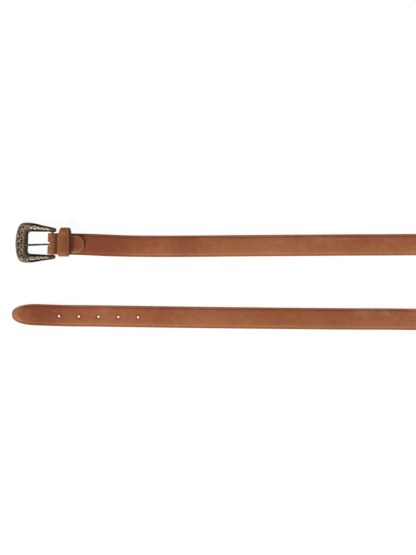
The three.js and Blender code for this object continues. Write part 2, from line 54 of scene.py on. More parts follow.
# Strap
STRAP_HALF = 12.2
STRAP_THICK = 2.8
FOLD_THICK = 1.8
TURN_START = 452
TURN_STEPS = 24
STANDING_LEAN = math.radians(86)
LEAN_START = 398
LEAN_LENGTH = 100
TIP_LENGTH = 30  # the tip is half a superellipse of this length, with these powers
TIP_POWERS = {"along": 2.3, "across": 2.45}
TIP_CENTRE = 9  # the tip's ribs fan out from this far inside its end
FLAP_HALF = 10
FLAP_CORNER = 9.2
FLAP_CENTRE = 5
FLAP_DROOP = 0.06
FLAP_SMOOTH = 26  # the turned-over end is smoother than the fold for this length
RIM_END = 19  # and has a pale cut edge for this length
TIP_RIM = 45  # the strap's upper edge is pale for this length from the tip
TIP_WEAR = 16  # and the tip is rubbed for this length
FLAP_SHADOW_REACH = 1.9  # the turned-over end's painted shadow reaches this far round it on the strap
HOLE_COUNT = 5
HOLE_PITCH = 22.4
HOLE_RADIUS = 1.25
HOLE_SIDES = 40
TIP_TO_HOLE = 53.5
HOLE_ASIDE = -0.8  # the holes lie to this side of the strap's middle
SLOT_FRONT = -2.5  # x of the slot's end in the front layer
SLOT_BACK = 4  # and in the back layer
SLOT_HALF = 2.1
SLOT_CORNER = 1.2  # radius of its corners

# Side view of the strap at the buckle: middle line, thickness, half width and share of the creased border
FOLD_LINE = table(
    "x z thick half crease",
    (26.5, 6.02, 2.0, FLAP_HALF, 0),
    (20, 6.05, 2.0, 9.8, 0),
    (13.5, 5.95, 2.0, 10.2, 0),
    (8.6, 6.25, 1.9, 10.9, 0),
    (5, 7.35, FOLD_THICK, 11.5, 0),
    (2, 9.7, FOLD_THICK, 12.0, 0),
    (-0.6, 10.25, FOLD_THICK, 12.1, 0),
    (-2.8, 9.5, FOLD_THICK, 12.1, 0),
    (-4.1, 7.6, FOLD_THICK, 12.1, 0),
    (-4.2, 5.4, FOLD_THICK, 12.1, 0),
    (-3.3, 3.7, FOLD_THICK, 12.1, 0),
    (-1.5, 3.0, FOLD_THICK, 12.1, 0),
    (2, 3.0, FOLD_THICK, 12.1, 0),
    (8, 3.15, 2.1, 12.1, 0.25),
    (15, 3.35, 2.5, 12.1, 0.5),
    (23, 3.45, 2.7, 12.15, 0.75),
    (33, 2.95, STRAP_THICK, 12.25, 1),
    (46, 2.1, STRAP_THICK, 12.35, 1),
    (60, 1.5, STRAP_THICK, 12.4, 1),
)
UPPER_RUN = table(
    "x y",
    (-10, 0),
    (8, -0.2),
    (36, -0.8),
    (60, -1.8),
    (85, -2.65),
    (121, -3.0),
    (160, -2.85),
    (200, -2.5),
    (248, -2.1),
    (290, -1.8),
    (340, -1.45),
    (380, -1.3),
    (416, -1.1),
    (TURN_START, -1.0),
)
LOWER_RUN = table(
    "x y",
    (TURN_START, -86.0),
    (412, -85.8),
    (376, -85.4),
    (340, -85.3),
    (287, -84.9),
    (230, -84.3),
    (167, -83.6),
    (130, -83.1),
    (83, -82.4),
    (49, -81.9),
    (12.5, -81.5),
    (-19.5, -80.5),
    (-46.0, -80.1),
)

# Places where the oiled leather is darker or lighter, and shade painted on it
LEATHER_TONE = 0.8
STAINS = table(
    "x y reach tone",
    (52, -2, 45, -0.92),
    (152, -3, 18, -0.38),
    (250, -2, 32, 0.2),
    (345, -1, 18, -0.14),
    (470, -43, 50, -0.1),
    (320, -85, 22, -0.26),
    (258, -85, 32, -0.18),
    (176, -84, 16, 0.13),
    (125, -83, 15, -0.2),
    (66, -82, 26, 0.14),
    (-12, -81, 25, -0.82),
)
PAINTED_SIDE_SHADE = -0.2  # painted shade: the leather is painted darker towards +Y, the side away from the key light
RUBS = table(
    "x y along across worn",
    (59, -73, 6, 5, 0.7),
    (352, -77, 9, 4, 0.6),
    (378, -78, 6, 4, 0.6),
    (171, 5.3, 3, 0.9, 0.6),
    (250, -10, 11, 2.5, 0.6),
    (303, 5.6, 15, 3, 0.4),
    (331, 5.4, 13, 1, 0.8),
    (349, -5.4, 2.5, 1.2, 0.8),
)
HOLE_SHADE_REACH = 1.6  # of the painted shade round each punched hole

LINE_STEPS = 48  # points of the strap's middle line for each row of its tables
END_RIBS = 5
CORNER_RIBS = 12
TIP_RIBS = 44
TIP_POINTS = 300  # of the tip's outline, where depth is measured from it
TIP_FINE_POINTS = 2000  # and before it is divided evenly
FOLD_RIB_STEP = 0.6
RUN_RIB_STEP = 1.5
TIP_GAP = 0.7  # the run's last rib lies at least this far before the tip's first
FLAP_TO_RUN = 60  # past this length the strap has turned back under the fold
LEATHER_SHARP = 38  # edges that bend by more degrees than this stay sharp
METAL_SHARP = 50
DENTS = table("size stretch depth seed", (16, 1.6, 0.1, 1), (5, 1, 0.04, 2))  # the strap lies unevenly

# Leather's section. Shares run from the middle to the band beside the edge, and the band's stations are
# distances from the edge.
BAND = 4.2
MIDDLE_SHARES = [0, 0.1, 0.2, 0.3, 0.42, 0.56, 0.7, 0.85]
BAND_STATIONS = [BAND, 3.7, 3.3, 3.0, 2.75, 2.5, 2.3, 2.1, 1.9, 1.65, 1.4, 1.1, 0.85, 0.6]
GRAIN_TURN = [20, 40, 60, 75, 90]
FLESH_TURN = [90, 60, 30, 0]
FLESH_SHARES = [0.66, 0.33, 0]
EDGE_ROUND = 0.5
CREASE_PLACE = 2.2
CREASE_DEPTH = 0.38
CREASE_REACH = 0.42
CROWN = 0.35  # the edges lie this much below the middle
CROWN_REACH = 12
BORDER_FALL = 0.5  # and the border falls by this much more
BORDER_REACH = 5.2
UNDER_RIM = 0.95  # a thin line of painted shade runs this far inside the edge on the lit side
PEBBLE_SCALE = 520  # of the leather's nap and pebbles, in cells a metre

# Keeper
KEEPER_HALF = 6.3
KEEPER_THICK = 1.6
KEEPER_CENTRE = 12.8
KEEPER_SKEW = 0.27  # at its upper edge its back is this share of its depth further on
KEEPER_STEPS = 14
KEEPER_LOOP = table(
    "y z narrow aside",
    (-12.7, 1.12, 0, 0),
    (-6, 1.04, 0, 0),
    (5, 1.04, 0, 0),
    (12.5, 1.08, 0.4, 0),
    (16.4, 3.2, 1.1, 0),
    (17.6, 7.2, 1.4, 0.4),
    (16.3, 11.2, 1.2, 0.6),
    (12.4, 13.1, 0.6, 0.3),
    (5, 13.4, 0, 0),
    (-4, 13.4, 0, 0),
    (-10.4, 13.1, 0, 0),
    (-13.0, 11.2, 0.1, 0),
    (-13.7, 7.4, 0.2, 0),
    (-13.8, 3.0, 0.1, 0),
)

# Buckle
BAR_HEIGHT = 5.6
BAR_RADIUS = 1.4
BAR_HALF = 14.6
FRAME_ASIDE = 0.25
FRAME_YAW = math.radians(-2)
FRAME_BACK = -3.2
FRAME_REACH = 42
FRAME_TILT = -math.asin((BAR_HEIGHT + FRAME_BACK) / FRAME_REACH)
FRAME_STEPS = 24
FRONT_POINTS = 72
BACK_POINTS = 28
DOME_POINTS = 400  # of the front's curve, before it is divided evenly
BAR_SIDES = 32
END_ROUND = 0.5  # the arms' ends bulge this much
END_ANGLES = np.radians([70, 50, 30])  # of the rings that close them
SECTION_SIZE = np.array([14.5, 6.6])  # usual width and height of the frame's section
LUMP_SIZE = 1.3  # of the casting's unevenness
LUMP_HEIGHT = 0.05
LUMP_SEED = 3
SPREAD_ROUNDS = 6  # a hollow lies below the relief's average over about this many points each way
FRAME_SECTIONS = table(
    "outX outY inX inY crown back",
    (4.0, 15.9, 3.9, 13.6, 1.5, -1.4),
    (3.3, 17.1, 3.0, 13.1, 2.1, -2.0),
    (1.0, 17.8, 0.8, 13.0, 2.5, -2.4),
    (-5.0, 18.95, -5.0, 13.0, 2.8, -2.5),
    (-12.0, 20.2, -12.0, 12.8, 3.1, -2.7),
    (-19.0, 21.75, -18.3, 12.65, 3.3, -2.9),
    (-25.0, 22.5, -23.3, 12.55, 3.4, -3.1),
    (-30.2, 22.7, -25.8, 12.2, 3.4, FRAME_BACK),
    (-34.8, 21.9, -27.0, 11.3, 3.4, FRAME_BACK),
    (-37.8, 19.5, -27.5, 9.9, 3.4, FRAME_BACK),
    (-39.7, 15.7, -27.6, 8.2, 3.4, FRAME_BACK),
    (-40.9, 11.1, -27.6, 6.1, 3.4, FRAME_BACK),
    (-41.7, 5.6, -27.6, 3.2, 3.4, FRAME_BACK),
    (-FRAME_REACH, 0, -27.6, 0, 3.4, FRAME_BACK),
)
DOME = table(
    "across rise",
    (0, 0.3),
    (0.06, 0.62),
    (0.18, 0.86),
    (0.36, 1),
    (0.55, 0.98),
    (0.72, 0.84),
    (0.82, 0.6),
    (1, 0.24),
)
HOLLOW_BACK = table(
    "across rise",
    (1, 0),
    (0.86, 0),
    (0.78, 0.14),
    (0.24, 0.14),
    (0.14, 0),
    (0, 0),
)

# Relief on the buckle's front, in plan
SCROLLS = table(
    "x y radius start turns hand",
    (-32.9, 17.3, 2.9, 250, 1.4, 1),
    (-34.7, 11.4, 3.0, 110, 1.5, -1),
    (-34.3, 5.4, 2.5, 280, 1.4, 1),
    (-34.6, -4.6, 2.5, 80, 1.4, -1),
    (-34.5, -10.6, 3.0, 250, 1.5, 1),
    (-31.2, -16.6, 2.8, 110, 1.4, -1),
)
LEAVES = table(
    "x y heading length width",
    (-39.1, 2.9, 135, 3.4, 0.8),
    (-36.5, 2.9, 45, 3.4, 0.8),
    (-39.1, 0.4, 45, 3.4, 0.8),
    (-36.5, 0.4, 135, 3.4, 0.8),
    (-33.0, 0.6, 0, 3.2, 0.7),
    (-38.9, 7.4, 80, 4.6, 0.75),
    (-38.7, -6.4, 98, 4.4, 0.75),
    (-37.5, 14.6, 66, 4.2, 0.75),
    (-37.2, -13.8, 112, 4.2, 0.75),
    (-34.0, -19.0, 142, 4.4, 0.8),
    (-28.2, 18.9, 20, 4.4, 0.85),
    (-27.2, -19.2, -50, 4.2, 0.85),
    (-24.6, 16.9, 150, 4.6, 1.0),
    (-24.3, -17.0, 205, 4.6, 1.0),
    (-20.4, 18.8, 10, 4.4, 0.85),
    (-20.2, -18.6, 5, 4.4, 0.85),
    (-19.8, 15.9, 190, 4.4, 0.85),
    (-15.8, 16.8, 155, 4.6, 0.95),
    (-16.2, -16.4, 200, 4.8, 1.0),
    (-11.2, 16.3, 185, 4.4, 0.85),
    (-11.4, -16.2, 175, 4.4, 0.85),
    (-5.2, 16.0, 175, 7.0, 0.7),
    (-5.0, -16.0, 185, 7.0, 0.7),
)
SCROLL_POINTS = 40
SCROLL_WIRE = 0.62
SCROLL_INNER = 0.38  # share of its radius at which a scroll ends
SCROLL_RAISE = 0.5
LEAF_RAISE = 0.55
VEIN_REACH = 0.14
PROUD = 0.02  # a part of the relief counts as raised above this height
FRONDS = 7  # small leaves round the outside of each scroll
FROND = {"length": 2.4, "width": 0.45}
FROND_GAP = 0.75
FROND_TURN = 50  # degrees that it leans round the scroll
PITS = table(
    "x y heading",
    (-37.6, 16.4, 50),
    (-38.5, 12.7, 62),
    (-37.1, 9.2, 105),
    (-38.1, 4.3, 28),
    (-40.5, 1.8, 88),
    (-37.6, -0.6, 152),
    (-34.8, 1.2, 78),
    (-38.6, -3.7, 100),
    (-37.6, -7.6, 125),
    (-38.8, -10.0, 80),
    (-38.2, -13.6, 108),
    (-34.2, -14.4, 25),
)
PIT_REACH = 1.12
PIT_STRETCH = 1.45  # a pit is this much longer along its heading, and as much narrower across it
EYE_REACH = 0.85  # of the pit in the middle of each scroll
PIT_DEPTH = 0.6
GROUND_DEPTH = 0.12  # the ground between the reliefs is cut back
SWELL_START = np.array([-24.5, 17.9])  # a broad ridge runs along each arm, under its leaves
SWELL_END = np.array([-3, 15.6])
SWELL_REACH = 2.3
SWELL_RAISE = 0.3
DULL_CORNER = (-32.5, -18.2)  # the brass is painted darker, with fewer bright tops, round here
DULL_REACH = 6.5
SPRIG_PITCH = 2.3  # small leaves that fill each swell stand this far apart
SPRIG = {"length": 3.4, "width": 0.62}
SPRIG_TURN = 32

# Tongue
TONGUE_RADIUS = 1.25
EYE_WIRE = 0.8
EYE_RADIUS = BAR_RADIUS + 0.3 + EYE_WIRE
TONGUE_ROOT = np.array([0, -0.8, -EYE_RADIUS - 0.05])
TONGUE_TIP = np.array([-31.7, -3.05, 1.3])
NOTCH_CLEARANCE = 0.32
NOTCH_START = 12  # the seat's cutter starts this far from the tongue's root
TONGUE_ROUND = 0.08  # share of its length that its rounded end takes
TONGUE_RINGS = 60
TONGUE_END_RINGS = 20
TONGUE_SIDES = 28
EYE_RINGS = 56
EYE_SIDES = 24
TONGUE_THINNING = table(
    "share radius",
    (0, 0.62),
    (0.2, 0.82),
    (0.5, 0.93),
    (0.75, 1),
    (0.94, 0.9),
    (0.98, 0.7),
    (1, 0.35),
)

# Camera and stage, in metres
PHOTO_HEIGHT = 0.6293
CAMERA_HEIGHT = 3.5
CAMERA_PLACE = (-0.0715, -0.0013, CAMERA_HEIGHT)
SENSOR = 36
LIGHT_TARGET = (-0.1, 0, 0)
FLOOR_HALF = 8
FLOOR_DROP = 0.0002  # keeps the floor out of the plane of the leather's underside


# Curves and meshes


def column(rows, *keys):
    """The named columns of a table as an array, one row for each row of the table."""
    values = np.array([[row[key] for key in keys] for row in rows], float)
    return values[:, 0] if len(keys) == 1 else values


def smoothstep(low, high, x):
    share = np.clip((x - low) / (high - low), 0, 1)
    return share * share * (3 - 2 * share)


def bell(away, reach):
    """1 where nothing is away, and fading out smoothly about as far as the reach."""
    return np.exp(-((away / reach) ** 2))


def centripetal(points, at, closed=False, measured=3):
    """A centripetal Catmull-Rom curve through points, read at `at`, which counts points from 0.

    Distances between points are taken in their first `measured` columns."""
    count = len(points)
    whole = np.floor(at).astype(int)
    if closed:
        row = np.vstack([points[-1:], points, points[:2]])
        start = whole % count
    else:
        row = np.vstack([2 * points[0] - points[1], points, 2 * points[-1] - points[-2]])
        whole = np.clip(whole, 0, count - 2)
        start = whole
    part = (at - whole)[:, None]
    p0, p1, p2, p3 = (row[start + k] for k in range(4))
    d0, d1, d2 = (
        np.sum((b - a)[:, :measured] ** 2, axis=1)[:, None] ** 0.25
        for a, b in ((p0, p1), (p1, p2), (p2, p3))
    )
    leave = ((p1 - p0) / d0 - (p2 - p0) / (d0 + d1) + (p2 - p1) / d1) * d1
    arrive = ((p2 - p1) / d1 - (p3 - p1) / (d1 + d2) + (p3 - p2) / d2) * d1
    square = -3 * p1 + 3 * p2 - 2 * leave - arrive
    cube = 2 * p1 - 2 * p2 + leave + arrive
    return p1 + leave * part + square * part**2 + cube * part**3


def unit(vectors):
    return vectors / np.linalg.norm(vectors, axis=-1, keepdims=True)


def walked(points):
    """Distance along a polyline up to each of its points."""
    steps = np.linalg.norm(np.diff(points, axis=0), axis=1)
    return np.concatenate([[0], np.cumsum(steps)])


def even_points(points, count):
    """Points at even distances along a polyline."""
    length = walked(points)
    at = np.linspace(0, length[-1], count)
    return np.stack([np.interp(at, length, values) for values in points.T], axis=1)


def grid_faces(index, closed):
    """Quads between neighbouring rows of vertex numbers, where each row is a ring."""
    ahead = np.roll(index, -1, axis=0) if closed else index[1:]
    here = index if closed else index[:-1]
    quads = np.stack([here, np.roll(here, -1, axis=1), np.roll(ahead, -1, axis=1), ahead], axis=-1)
    return quads.reshape(-1, 4).tolist()


def new_piece(name, points, faces):
    """A mesh object from points in metres."""
    mesh = bpy.data.meshes.new(name)
    mesh.from_pydata(points.tolist(), [], faces)
    mesh.validate()
    piece = bpy.data.objects.new(name, mesh)
    bpy.context.scene.collection.objects.link(piece)
    return piece


def face_out(piece):
    """Turns the faces of a closed mesh outwards."""
    mesh = piece.data
    mesh.calc_loop_triangles()
    points = read_points(piece)
    corners = np.zeros(len(mesh.loop_triangles) * 3, int)
    mesh.loop_triangles.foreach_get("vertices", corners)
    a, b, c = points[corners.reshape(-1, 3).T]
    if np.sum(a * np.cross(b, c)) < 0:
        mesh.flip_normals()


def read_points(piece):
    flat = np.zeros(len(piece.data.vertices) * 3)
    piece.data.vertices.foreach_get("co", flat)
    return flat.reshape(-1, 3)


def write_points(piece, points):
    piece.data.vertices.foreach_set("co", points.ravel())
    piece.data.update()


def write_values(piece, **named):
    """Keeps a number, or three, for each vertex under each name, for the material to read."""
    for name, values in named.items():
        if np.ndim(values) == 0:
            values = np.full(len(piece.data.vertices), values)
        kind, field = ("FLOAT", "value") if values.ndim == 1 else ("FLOAT_VECTOR", "vector")
        attribute = piece.data.attributes.new(name, kind, "POINT")
        attribute.data.foreach_set(field, values.astype(np.float32).ravel())


def combine(piece, other, operation):
    """Joins another closed mesh to this one, or cuts it out."""
    for each in (piece, other):
        face_out(each)
    modifier = piece.modifiers.new("combine", "BOOLEAN")
    modifier.operation = operation
    modifier.object = other
    modifier.solver = "MANIFOLD"
    ready = piece.evaluated_get(bpy.context.evaluated_depsgraph_get())
    mesh = bpy.data.meshes.new_from_object(ready)
    piece.modifiers.clear()
    piece.data = mesh
    bpy.data.objects.remove(other)


def finish_faces(piece, sharp):
    """Turns the faces outwards and shades them smooth, except over edges sharper than this many degrees."""
    face_out(piece)
    piece.data.shade_smooth()
    piece.data.set_sharp_from_angle(angle=math.radians(sharp))


def ripple(points, size, seed):
    """Smooth noise from -1 to 1 at each point, with dents of about this size."""
    shift = Vector((seed * 17.3, seed * 5.1, seed * 2.7))
    return np.array([noise.noise(Vector(p) / size + shift) for p in points])


def rod_rings(points, radii, sides):
    """Rings of a round bar along points, which turn about the vertical plane that holds the bar."""
    along = unit(np.gradient(points, axis=0))
    side = unit(np.cross([0, 0, 1], along))
    up = np.cross(along, side)
    angle = np.linspace(0, 2 * np.pi, sides, endpoint=False)[None, :, None]
    offset = side[:, None] * np.cos(angle) + up[:, None] * np.sin(angle)
    return points[:, None] + offset * np.asarray(radii)[:, None, None]


def capped(name, rings):
    """A closed piece from rings of points, with a fan at each end."""
    count, sides = rings.shape[:2]
    points = np.vstack([rings.reshape(-1, 3), rings[0].mean(axis=0), rings[-1].mean(axis=0)])
    index = np.arange(count * sides).reshape(count, sides)
    faces = grid_faces(index, closed=False)
    first, last = count * sides, count * sides + 1
    for k in range(sides):
        after = (k + 1) % sides
        faces.append([int(index[0, after]), int(index[0, k]), first])
        faces.append([int(index[-1, k]), int(index[-1, after]), last])
    return new_piece(name, points * MM, faces)


# Leather


def leather_section(outline, outward, centre, thick, crease):
    """Half sections of leather, from the middle of the grain side round the edge to the middle of the flesh.

    outline, outward and centre have a row for each rib, in the plane of the leather: the edge's point, its
    normal and the rib's inner end. Gives the place in that plane and the height of each point."""
    band_end = outline - outward * BAND
    middle = np.linalg.norm(band_end - centre, axis=1)[:, None]

    def from_middle(shares):
        return centre[:, None] + (band_end - centre)[:, None] * np.array(shares)[:, None]

    def from_outline(distances):
        return outline[:, None] - outward[:, None] * np.array(distances)[:, None]

    grain_turn = np.radians(GRAIN_TURN)
    flesh_turn = np.radians(FLESH_TURN)
    stations = np.concatenate([BAND_STATIONS, EDGE_ROUND * (1 - np.sin(grain_turn))])
    inner = BAND + middle * (1 - np.array(MIDDLE_SHARES))
    depths = np.hstack([inner, np.tile(stations, (len(outline), 1))])
    drops = np.zeros(depths.shape[1])
    drops[-len(grain_turn) :] = EDGE_ROUND * (1 - np.cos(grain_turn))
    crown = CROWN * (1 - np.clip(depths / CROWN_REACH, 0, 1)) ** 2
    border = BORDER_FALL * (1 - smoothstep(EDGE_ROUND, BORDER_REACH, depths))
    groove = CREASE_DEPTH * bell(depths - CREASE_PLACE, CREASE_REACH)
    top = (thick / 2)[:, None]
    grain = top - drops - crease[:, None] * (crown + border + groove)
    rises = np.zeros(len(flesh_turn) + len(FLESH_SHARES))
    rises[: len(flesh_turn)] = EDGE_ROUND * (1 - np.cos(flesh_turn))
    places = [
        from_middle(MIDDLE_SHARES),
        from_outline(stations),
        from_outline(EDGE_ROUND * (1 - np.sin(flesh_turn))),
        from_middle(FLESH_SHARES),
    ]
    return np.concatenate(places, axis=1), np.hstack([grain, rises - top])


def whole_rings(place, height):
    """Joins half sections to their mirror image, so that each becomes a ring."""
    half_points = np.concatenate([place, height[:, :, None]], axis=2)
    mirrored = half_points[:, -2:0:-1] * [1, -1, 1]
    return np.concatenate([half_points, mirrored], axis=1)


def turn_points():
    """The turn, as a curve that bends most at its middle, scaled to join the two runs."""
    start = column(UPPER_RUN, "x", "y")[-1]
    end = column(LOWER_RUN, "x", "y")[0]
    share = (np.arange(TURN_STEPS) + 0.5) / TURN_STEPS
    heading = np.pi * share - np.sin(2 * np.pi * share) / 2
    steps = np.cumsum(np.stack([np.cos(heading), -np.sin(heading)], axis=1), axis=0)
    scale = (end[1] - start[1]) / steps[-1, 1]
    return start + steps[:-1] * scale


def strap_rows():
    """x, y, z, thickness, half width and crease along the strap, from the turned-over end to the tip."""
    upper = column(UPPER_RUN, "x", "y")
    fold = column(FOLD_LINE, "x", "z", "thick", "half", "crease")
    ahead = fold[0] + [FLAP_CORNER, -FLAP_DROOP * FLAP_CORNER, 0, 0, 0]
    fold = np.vstack([ahead, fold])
    fold_y = np.interp(fold[:, 0], upper[:, 0], upper[:, 1])
    past_fold = upper[upper[:, 0] > fold[-1, 0]]
    plan = np.vstack([past_fold, turn_points(), column(LOWER_RUN, "x", "y")])
    flat = np.tile([STRAP_THICK / 2, STRAP_THICK, STRAP_HALF, 1], (len(plan), 1))
    return np.vstack([np.insert(fold, 1, fold_y, axis=1), np.hstack([plan, flat])])


def strap_lean(points, at):
    """How far the strap is tipped onto its edge at each point of its line."""
    length = walked(points[:, :2])
    turn = int(np.argmax(points[:, 0]))
    past_fold = int(np.argmax(at >= len(FOLD_LINE)))
    rise = np.interp(LEAN_START, points[past_fold:turn, 0], length[past_fold:turn])
    fall = np.interp(-LEAN_START, -points[turn:, 0], length[turn:])
    up_share = smoothstep(rise, rise + LEAN_LENGTH, length)
    down_share = smoothstep(fall - LEAN_LENGTH, fall, length)
    return STANDING_LEAN * (up_share - down_share)


def strap_line():
    """The strap's middle line from the turned-over end to the tip, with its frame at each point."""
    rows = strap_rows()
    at = np.arange(0, len(rows) - 1 + 1e-9, 1 / LINE_STEPS)
    fine = centripetal(rows, at)
    lean = strap_lean(fine, at)
    standing = STRAP_HALF * np.sin(lean) + STRAP_THICK / 2 * np.cos(lean)
    place = fine[:, :3]
    place[:, 2] = np.where(lean > 0, standing, place[:, 2])
    along = unit(np.gradient(place, axis=0))
    folded = (at < len(FOLD_LINE))[:, None]
    along_bar = [-math.sin(FRAME_YAW), math.cos(FRAME_YAW), 0]
    side = np.where(folded, along_bar, np.cross([0, 0, 1], along))
    side = unit(side - along * np.sum(side * along, axis=1, keepdims=True))
    up = np.cross(along, side)
    side = side * np.cos(lean)[:, None] - up * np.sin(lean)[:, None]
    return {
        "place": place,
        "thick": fine[:, 3],
        "half": fine[:, 4],
        "crease": np.clip(fine[:, 5], 0, 1),
        "side": side,
        "up": np.cross(along, side),
        "length": walked(place),
    }


def along_line(line, key, length):
    """A value of the line at each length along it."""
    values = line[key]
    if values.ndim == 1:
        return np.interp(length, line["length"], values)
    return np.stack([np.interp(length, line["length"], part) for part in values.T], axis=1)


def bend(line, points):
    """Takes points of the flat strap (length, across, height) to where they lie."""
    place = along_line(line, "place", points[:, 0])
    side = along_line(line, "side", points[:, 0])
    up = along_line(line, "up", points[:, 0])
    return place + side * points[:, 1:2] + up * points[:, 2:3]


def strap_ribs(line):
    """Edge point, normal and inner end of each rib of the flat strap, as three tables."""
    total = line["length"][-1]
    straight = FLAP_HALF - FLAP_CORNER
    end = [[0, v, -1, 0] for v in np.linspace(0, straight, END_RIBS)[:-1]]
    angle = np.linspace(0, np.pi / 2, CORNER_RIBS)
    inward, aside = 1 - np.cos(angle), np.sin(angle)
    corner = np.column_stack([FLAP_CORNER * inward, straight + FLAP_CORNER * aside, -np.cos(angle), aside])
    flap = np.vstack([end, corner])
    flap_centre = np.linspace(FLAP_CENTRE, FLAP_CORNER, len(flap))
    fold_end = np.interp(FOLD_LINE[-1]["x"], *upper_run(line))
    folded = np.arange(FLAP_CORNER + FOLD_RIB_STEP, fold_end, FOLD_RIB_STEP)
    body = np.concatenate([folded, np.arange(fold_end, total - TIP_LENGTH - TIP_GAP, RUN_RIB_STEP)])
    still = np.zeros(len(body))
    body_rows = np.column_stack([body, along_line(line, "half", body), still, still + 1])
    edge = tip_outline(total, TIP_RIBS)
    ahead = unit(np.gradient(edge, axis=0))
    ahead[0] = [1, 0]
    ahead[-1] = [0, -1]
    tip = np.column_stack([edge, -ahead[:, 1], ahead[:, 0]])
    tip_centre = np.linspace(total - TIP_LENGTH, total - TIP_CENTRE, TIP_RIBS)
    rows = np.vstack([flap, body_rows, tip])
    centre = np.concatenate([flap_centre, body, tip_centre])
    return rows[:, :2], rows[:, 2:], np.column_stack([centre, np.zeros(len(centre))])


def tip_outline(total, count):
    """Points at even distances along half of the tip's outline, to the strap's end."""
    angle = np.linspace(0, np.pi / 2, TIP_FINE_POINTS)
    along = np.sin(angle) ** (2 / TIP_POWERS["along"])
    across = np.cos(angle) ** (2 / TIP_POWERS["across"])
    return even_points(np.column_stack([total - TIP_LENGTH * (1 - along), STRAP_HALF * across]), count)


def upper_run(line):
    """x and length of the part of the line that runs from under the turned-over end to the turn."""
    start = int(np.argmax(line["length"] > FLAP_TO_RUN))
    end = int(np.argmax(line["place"][:, 0]))
    return line["place"][start:end, 0], line["length"][start:end]


def from_flap_corner(length, across):
    """How far points lie outside the rounded corners of the turned-over end."""
    beside = np.maximum(np.abs(across) - (FLAP_HALF - FLAP_CORNER), 0)
    return np.hypot(np.maximum(FLAP_CORNER - length, 0), beside) - FLAP_CORNER


def from_edge(line, points):
    """Distance of each point of the flat strap from its outline."""
    total = line["length"][-1]
    length = points[:, 0]
    across = np.abs(points[:, 1])
    depth = along_line(line, "half", length) - across
    flap = np.minimum(-from_flap_corner(length, across), depth)
    depth = np.where(length < FLAP_CORNER, flap, depth)
    near_tip = length > total - TIP_LENGTH
    outline = tip_outline(total, TIP_POINTS)
    spots = np.column_stack([length, across])[near_tip]
    depth[near_tip] = np.linalg.norm(spots[:, None] - outline[None], axis=2).min(axis=1)
    return depth


def upright_cutter(name, points):
    """A closed upright prism over an outline, taller than the leather is thick."""
    rings = [np.column_stack([points, np.full(len(points), z)]) for z in (-STRAP_THICK, STRAP_THICK)]
    return capped(name, np.stack(rings))


def flat_strap(line):
    """The strap before it is bent: a closed piece in length, across and height."""
    outline, outward, centre = strap_ribs(line)
    thick = along_line(line, "thick", centre[:, 0])
    crease = along_line(line, "crease", centre[:, 0])
    place, height = leather_section(outline, outward, centre, thick, crease)
    rings = whole_rings(place, height)
    count, size = rings.shape[:2]
    half_size = place.shape[1]
    index = np.arange(count * size).reshape(count, size)
    for end in (0, -1):
        index[end, half_size:] = index[end, 1 : half_size - 1][::-1]
    used, compact = np.unique(index, return_inverse=True)
    faces = grid_faces(compact.reshape(index.shape), closed=False)
    return new_piece("strap_leather", rings.reshape(-1, 3)[used] * MM, faces)


def hole_spots(line):
    """The middle of each punched hole on the flat strap."""
    nearest = line["length"][-1] - TIP_TO_HOLE
    return [np.array([nearest - i * HOLE_PITCH, -HOLE_ASIDE]) for i in range(HOLE_COUNT)]


def cut_strap(strap, line):
    """Punches the holes and cuts the tongue's slot."""
    around = np.linspace(0, 2 * np.pi, HOLE_SIDES, endpoint=False) + np.pi / HOLE_SIDES
    circle = np.column_stack([np.cos(around), np.sin(around)])
    for spot in hole_spots(line):
        combine(strap, upright_cutter("drill", spot + circle * HOLE_RADIUS), "DIFFERENCE")
    front, back = slot_ends(line)
    straight = np.array([(back - front) / 2, SLOT_HALF]) - SLOT_CORNER
    rim = SLOT_CORNER * circle + np.sign(circle) * straight
    combine(strap, upright_cutter("slot", rim + [(front + back) / 2, 0]), "DIFFERENCE")


def dress_strap(strap, line, lay, depth, on_grain):
    """Keeps what the leather's material reads, at each point of the flat strap."""
    total = line["length"][-1]
    length, across, height = lay.T
    on_flap = smoothstep(FLAP_SMOOTH + 6, FLAP_SMOOTH - 2, length)
    past_fold = smoothstep(FLAP_TO_RUN - 15, FLAP_TO_RUN, length)
    end_rim = smoothstep(RIM_END + 2, RIM_END - 2, length) * smoothstep(7, 1, across)
    tip_rim = smoothstep(total - TIP_RIM - 25, total - TIP_RIM, length)
    tip_rim *= smoothstep(-2, -8, across) * on_grain
    # Which side faces the key light: the material paints a highlight beside the border line on that side and
    # shade in the line on the other.
    lit_side = -along_line(line, "side", length)[:, 1] * across / STRAP_HALF
    from_middles = [np.hypot(*(lay[:, :2] - spot).T) for spot in hole_spots(line)]
    write_values(
        strap,
        lay=lay * MM,
        from_edge=depth,
        crease=along_line(line, "crease", length) * on_grain,
        flesh=smoothstep(0.5, -0.5, height),
        napped=0.8 - 0.4 * on_flap - 0.4 * past_fold,
        flesh_tone=0.5 + on_flap * (0.5 * smoothstep(5, 2, depth) - 0.5),
        pale_rim=end_rim + 0.6 * tip_rim,
        tone=stains_and_side_shade(line, lay),
        yellowed=0,
        worn=worn_places(line, lay, depth) * on_grain,
        lit_side=smoothstep(0.2, 0.8, lit_side),
        ringed=bell(np.min(from_middles, axis=0) - HOLE_RADIUS, HOLE_SHADE_REACH) * on_grain,
        shaded=painted_flap_shadow(line, lay) * on_grain,
    )


def make_strap():
    line = strap_line()
    strap = flat_strap(line)
    cut_strap(strap, line)
    lay = read_points(strap) / MM
    depth = from_edge(line, lay)
    on_grain = smoothstep(0.3, 0.9, lay[:, 2])
    dress_strap(strap, line, lay, depth, on_grain)
    for dent in DENTS:
        rise = dent["depth"] * ripple(lay * [1, dent["stretch"], 0], dent["size"], dent["seed"])
        lay[:, 2] += rise * smoothstep(0.3, 2, depth) * on_grain
    write_points(strap, (bend(line, lay) + BAR_PLACE) * MM)
    finish_faces(strap, LEATHER_SHARP)
    return strap


